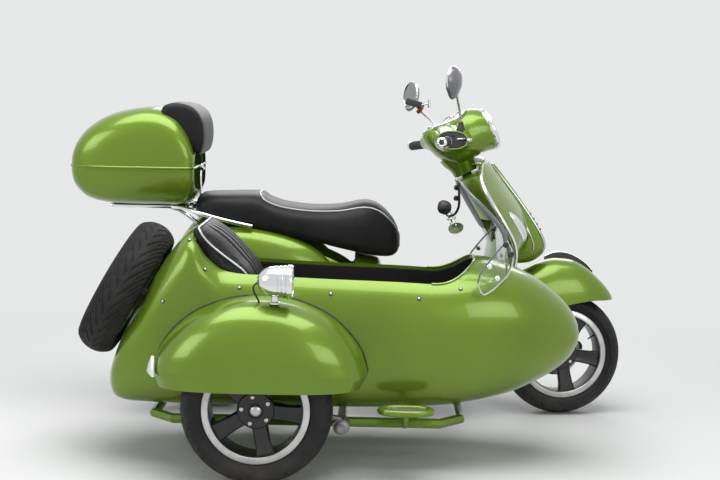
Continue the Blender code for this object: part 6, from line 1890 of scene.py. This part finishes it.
# Sidecar frame and wheel arm: welded tubes sprayed in the outfit's green, and a cast trailing arm on a
# round torsion unit, whose hub shows as a grey disc beside the step.
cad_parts["sidecar_chassis"].data.materials[0] = green_paint
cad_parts["sidecar_swing_arm"].data.materials[0] = cast_metal
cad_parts["sidecar_mount"].data.materials[0] = steel_grey
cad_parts["spare_carrier"].data.materials[0] = steel_grey
TORSION = Vector((0.537, -0.9595, 0.166))
unit = [
    turned(((0, 0), (0, 21.5), (2, 23.5), (4, 21.5), (6, 13), (9, 12.5), (9, 0)),
          TORSION + Vector((0, -0.0002, 0)), (0, -1, 0), 32),
    drum(0.0085, 0.006, TORSION + Vector((0, -0.0085, 0)), (0, -1, 0), 6),
]
piece("torsion_cap", joined(unit), cast_metal)

# Step: a ring of green tube round a ribbed grey tread plate, on a bracket bolted to the frame
STEP_AT = Vector((0.745, -0.985, 0.232))
ring_path = []
for k in range(49):
    turn = tau * k / 48
    ring_path.append(STEP_AT
        + Vector((0.081 * power(cos(turn), 0.87), 0.04 * power(sin(turn), 0.87), 0.0)))
step_ring = bmesh.new()
loops = []
for k in range(48):
    here = ring_path[k]
    along = (ring_path[(k + 1) % 48] - ring_path[k - 1]).normalized()
    out = along.cross(Vector((0, 0, 1)))
    loops.append(ring_of(step_ring, lambda t, p=here, o=out: p + o * (0.0115 * cos(t))
        + Vector((0, 0, 0.0115 * sin(t))), 12))
for near, far in zip(loops, loops[1:] + loops[:1]):
    bmesh.ops.bridge_loops(step_ring, edges=near + far)
bmesh.ops.recalc_face_normals(step_ring, faces=step_ring.faces)
bracket = bar([(0.745, -0.8975, 0.166), (0.745, -0.925, 0.168), (0.745, -0.955, 0.18),
    (0.745, -0.97, 0.224)], 0.0105, 14, 2)
piece("sidecar_step_ring", joined([step_ring, bracket]), green_paint, replaces=["sidecar_step"])
tread = prism([(p.x - (p.x - STEP_AT.x) * 0.08, p.y - (p.y - STEP_AT.y) * 0.14)
    for p in ring_path[:48]], 0.23, 0.2342)
ribs = []
for k in range(9):
    x = STEP_AT.x + 0.0145 * (k - 4)
    half = 0.03 * (1 - (abs(x - STEP_AT.x) / 0.081) ** 3.4) ** 0.5
    ribs.append(box((x - 0.0035, STEP_AT.y - half, 0.2335), (x + 0.0035, STEP_AT.y + half, 0.2372),
        0.0012, 2))
tread_grey = grained("tread_grey", (0.24, 0.25, 0.25), (0.15, 0.15, 0.15), 0.55, 380.0, 0.5, 0.0002,
    0.4, (0.4, 0.6))
piece("step_tread_plate", joined([tread, *ribs]), tread_grey, "scooter", "cast_metal")

# Bulb horn: a black rubber ball that blows through a chromed coil into a pale green bell, hung from a
# black bracket that two knobs clamp to the windscreen's far edge.
HORN_AT = Vector((0.885, -0.372, 0.832))
HORN_ALONG = Vector((0.55, 0.0, -0.83)).normalized()
ball = lathe([(-0.0285 + 0.0545 * k / 16,
    max(0.0001, 0.0262 * sin(pi * (0.06 + 0.9 * k / 16)) ** 0.72)) for k in range(17)], HORN_AT,
    HORN_ALONG, 36)
rubber_ball = grained("rubber_ball", (0.012, 0.012, 0.012), (0.022, 0.022, 0.022), 0.5, 500.0, 0.4,
    0.00008)
piece("horn_ball", ball, rubber_ball, "scooter", "tyre_rubber", ["bulb_horn"])
coil_side = Vector((-HORN_ALONG.z, 0, HORN_ALONG.x))
coil_path = []
for k in range(57):
    turn = tau * 1.75 * k / 56
    coil_path.append(HORN_AT + HORN_ALONG * (0.03 + 0.034 * k / 56) + coil_side * (0.0125 * cos(turn))
        + Vector((0, 0.0125 * sin(turn), 0)))
fittings = [
    turned(((20, 0), (20, 10), (24, 11.2), (30, 11.2), (33, 7.5), (66, 7), (70, 11), (74, 11), (74, 0)),
        HORN_AT, HORN_ALONG, 28),
    bar(coil_path, 0.0042, 10),
]
piece("horn_coil", joined(fittings), chrome)
BELL_AT = HORN_AT + HORN_ALONG * 0.068
BELL_ALONG = Vector((0.14, -0.8, -0.58)).normalized()
bell = lathe([(reach - 0.07, radius) for reach, radius in (
    (0.072, 0.0085), (0.078, 0.0105), (0.084, 0.015), (0.089, 0.021), (0.092, 0.0262), (0.0935, 0.028),
    (0.0945, 0.0275), (0.0925, 0.0255), (0.089, 0.0195), (0.084, 0.0135), (0.078, 0.009),
    (0.074, 0.007),
)], BELL_AT, BELL_ALONG, 40, closed=True)
bell_green = grained("bell_green", (0.44, 0.56, 0.3), (0.34, 0.46, 0.2), 0.32, 300.0, 0.2, 0.00004, 0.2)
piece("horn_bell", bell, bell_green, "scooter", "green_paint")
hanger = [
    bar([(0.928, -0.455, 0.93), (0.931, -0.45, 0.885), (0.933, -0.438, 0.845), (0.922, -0.4, 0.812),
        (0.904, -0.374, 0.802)], 0.0046, 12, 2),
    turned(((0, 0), (0, 9.8), (10, 10.5), (13, 7), (13, 0)), (0.926, -0.446, 0.912), (-0.5, 0.86, 0.0),
        24),
    turned(((0, 0), (0, 9), (9, 9.6), (12, 6.4), (12, 0)), (0.924, -0.446, 0.874), (-0.5, 0.86, 0.0),
        24),
]
piece("horn_hanger", joined(hanger), black_plastic)

# The stage: a pale floor that melts into the backdrop, soft studio lamps, and the camera where the
# photographer stood
stage_paper, tree, paper = blank("stage_paper")
paper.inputs["Base Color"].default_value = (0.7, 0.7, 0.69, 1.0)
paper.inputs["Roughness"].default_value = 0.75
backing = node(tree, "Emission", Strength=1.0, Color=(0.8, 0.805, 0.81, 1.0))
place = node(tree, "TexCoord")
reach = node(tree, "VectorMath", operation="LENGTH")
melt = node(tree, "MapRange", interpolation_type="SMOOTHSTEP", From_Min=1.5, From_Max=3.4)
seen = node(tree, "MixShader")
wires(
    tree, (place, "Object", reach, 0), (reach, "Value", melt, "Value"), (melt, "Result", seen, "Fac"),
    (paper, 0, seen, 1), (backing, 0, seen, 2), (seen, 0, tree.nodes["Material Output"], "Surface"),
)
floor_sheet = bmesh.new()
bmesh.ops.create_grid(floor_sheet, x_segments=1, y_segments=1, size=30.0)
mesh = mesh_of(floor_sheet, "floor_sheet")
mesh.materials.append(stage_paper)
ground = put("floor_sheet", mesh)
ground.location = (0.0, 0.0, -0.0006)

world = bpy.data.worlds.new("studio")
bpy.context.scene.world = world
world.use_nodes = True
tree = world.node_tree
rays = node(tree, "LightPath")
sky = tree.nodes["Background"]
sky.inputs["Color"].default_value = (0.84, 0.88, 0.95, 1.0)
sky.inputs["Strength"].default_value = 0.32
pale = node(tree, "Background", Strength=1.0, Color=(0.8, 0.805, 0.81, 1.0))
mix = node(tree, "MixShader")
seen_or_mirrored = node(tree, "Math", operation="MAXIMUM")
seen_at_all = node(tree, "Math", operation="MAXIMUM")
wires(
    tree, (rays, "Is Camera Ray", seen_or_mirrored, 0), (rays, "Is Glossy Ray", seen_or_mirrored, 1),
    (seen_or_mirrored, 0, seen_at_all, 0), (rays, "Is Transmission Ray", seen_at_all, 1),
    (seen_at_all, 0, mix, "Fac"), (sky, 0, mix, 1), (pale, 0, mix, 2),
    (mix, 0, tree.nodes["World Output"], "Surface"),
)


def softbox(name, where, towards, width, height, watts):
    """A rectangular studio lamp that points at a place."""
    lamp = bpy.data.lights.new(name, "AREA")
    lamp.shape = "RECTANGLE"
    lamp.size = width
    lamp.size_y = height
    lamp.energy = watts
    holder = put(name, lamp)
    holder.location = where
    holder.rotation_euler = (Vector(towards) - Vector(where)).to_track_quat("-Z", "Y").to_euler()


softbox("overhead", (-0.2, -0.6, 4.2), (0.0, 0.0, 0.4), 4.5, 3.0, 185)
softbox("front_fill", (2.8, -3.8, 2.2), (0.2, -0.2, 0.5), 2.5, 1.8, 40)
softbox("rear_fill", (-3.6, -2.4, 2.4), (-0.3, -0.1, 0.5), 2.0, 2.0, 45)
softbox("far_rim", (0.4, 4.2, 2.6), (0.0, 0.2, 0.6), 3.5, 1.6, 60)

YAW = radians(-0.573)
PITCH = radians(6.831)
ROLL = radians(1.0746)
ahead = Vector((sin(YAW) * cos(PITCH), cos(YAW) * cos(PITCH), -sin(PITCH)))
right = Vector((cos(YAW), -sin(YAW), 0.0))
upward = right.cross(ahead)
turned_right = right * cos(ROLL) + upward * sin(ROLL)
turned_up = upward * cos(ROLL) - right * sin(ROLL)
lens = bpy.data.cameras.new("camera")
lens.sensor_width = 36.0
lens.lens = 67.83
camera = put("camera", lens)
turn = Matrix((turned_right, turned_up, -ahead)).transposed().to_4x4()
camera.matrix_world = Matrix.Translation((0.088, -4.86395, 1.2937)) @ turn
bpy.context.scene.camera = camera
bpy.context.scene.view_settings.view_transform = "Standard"
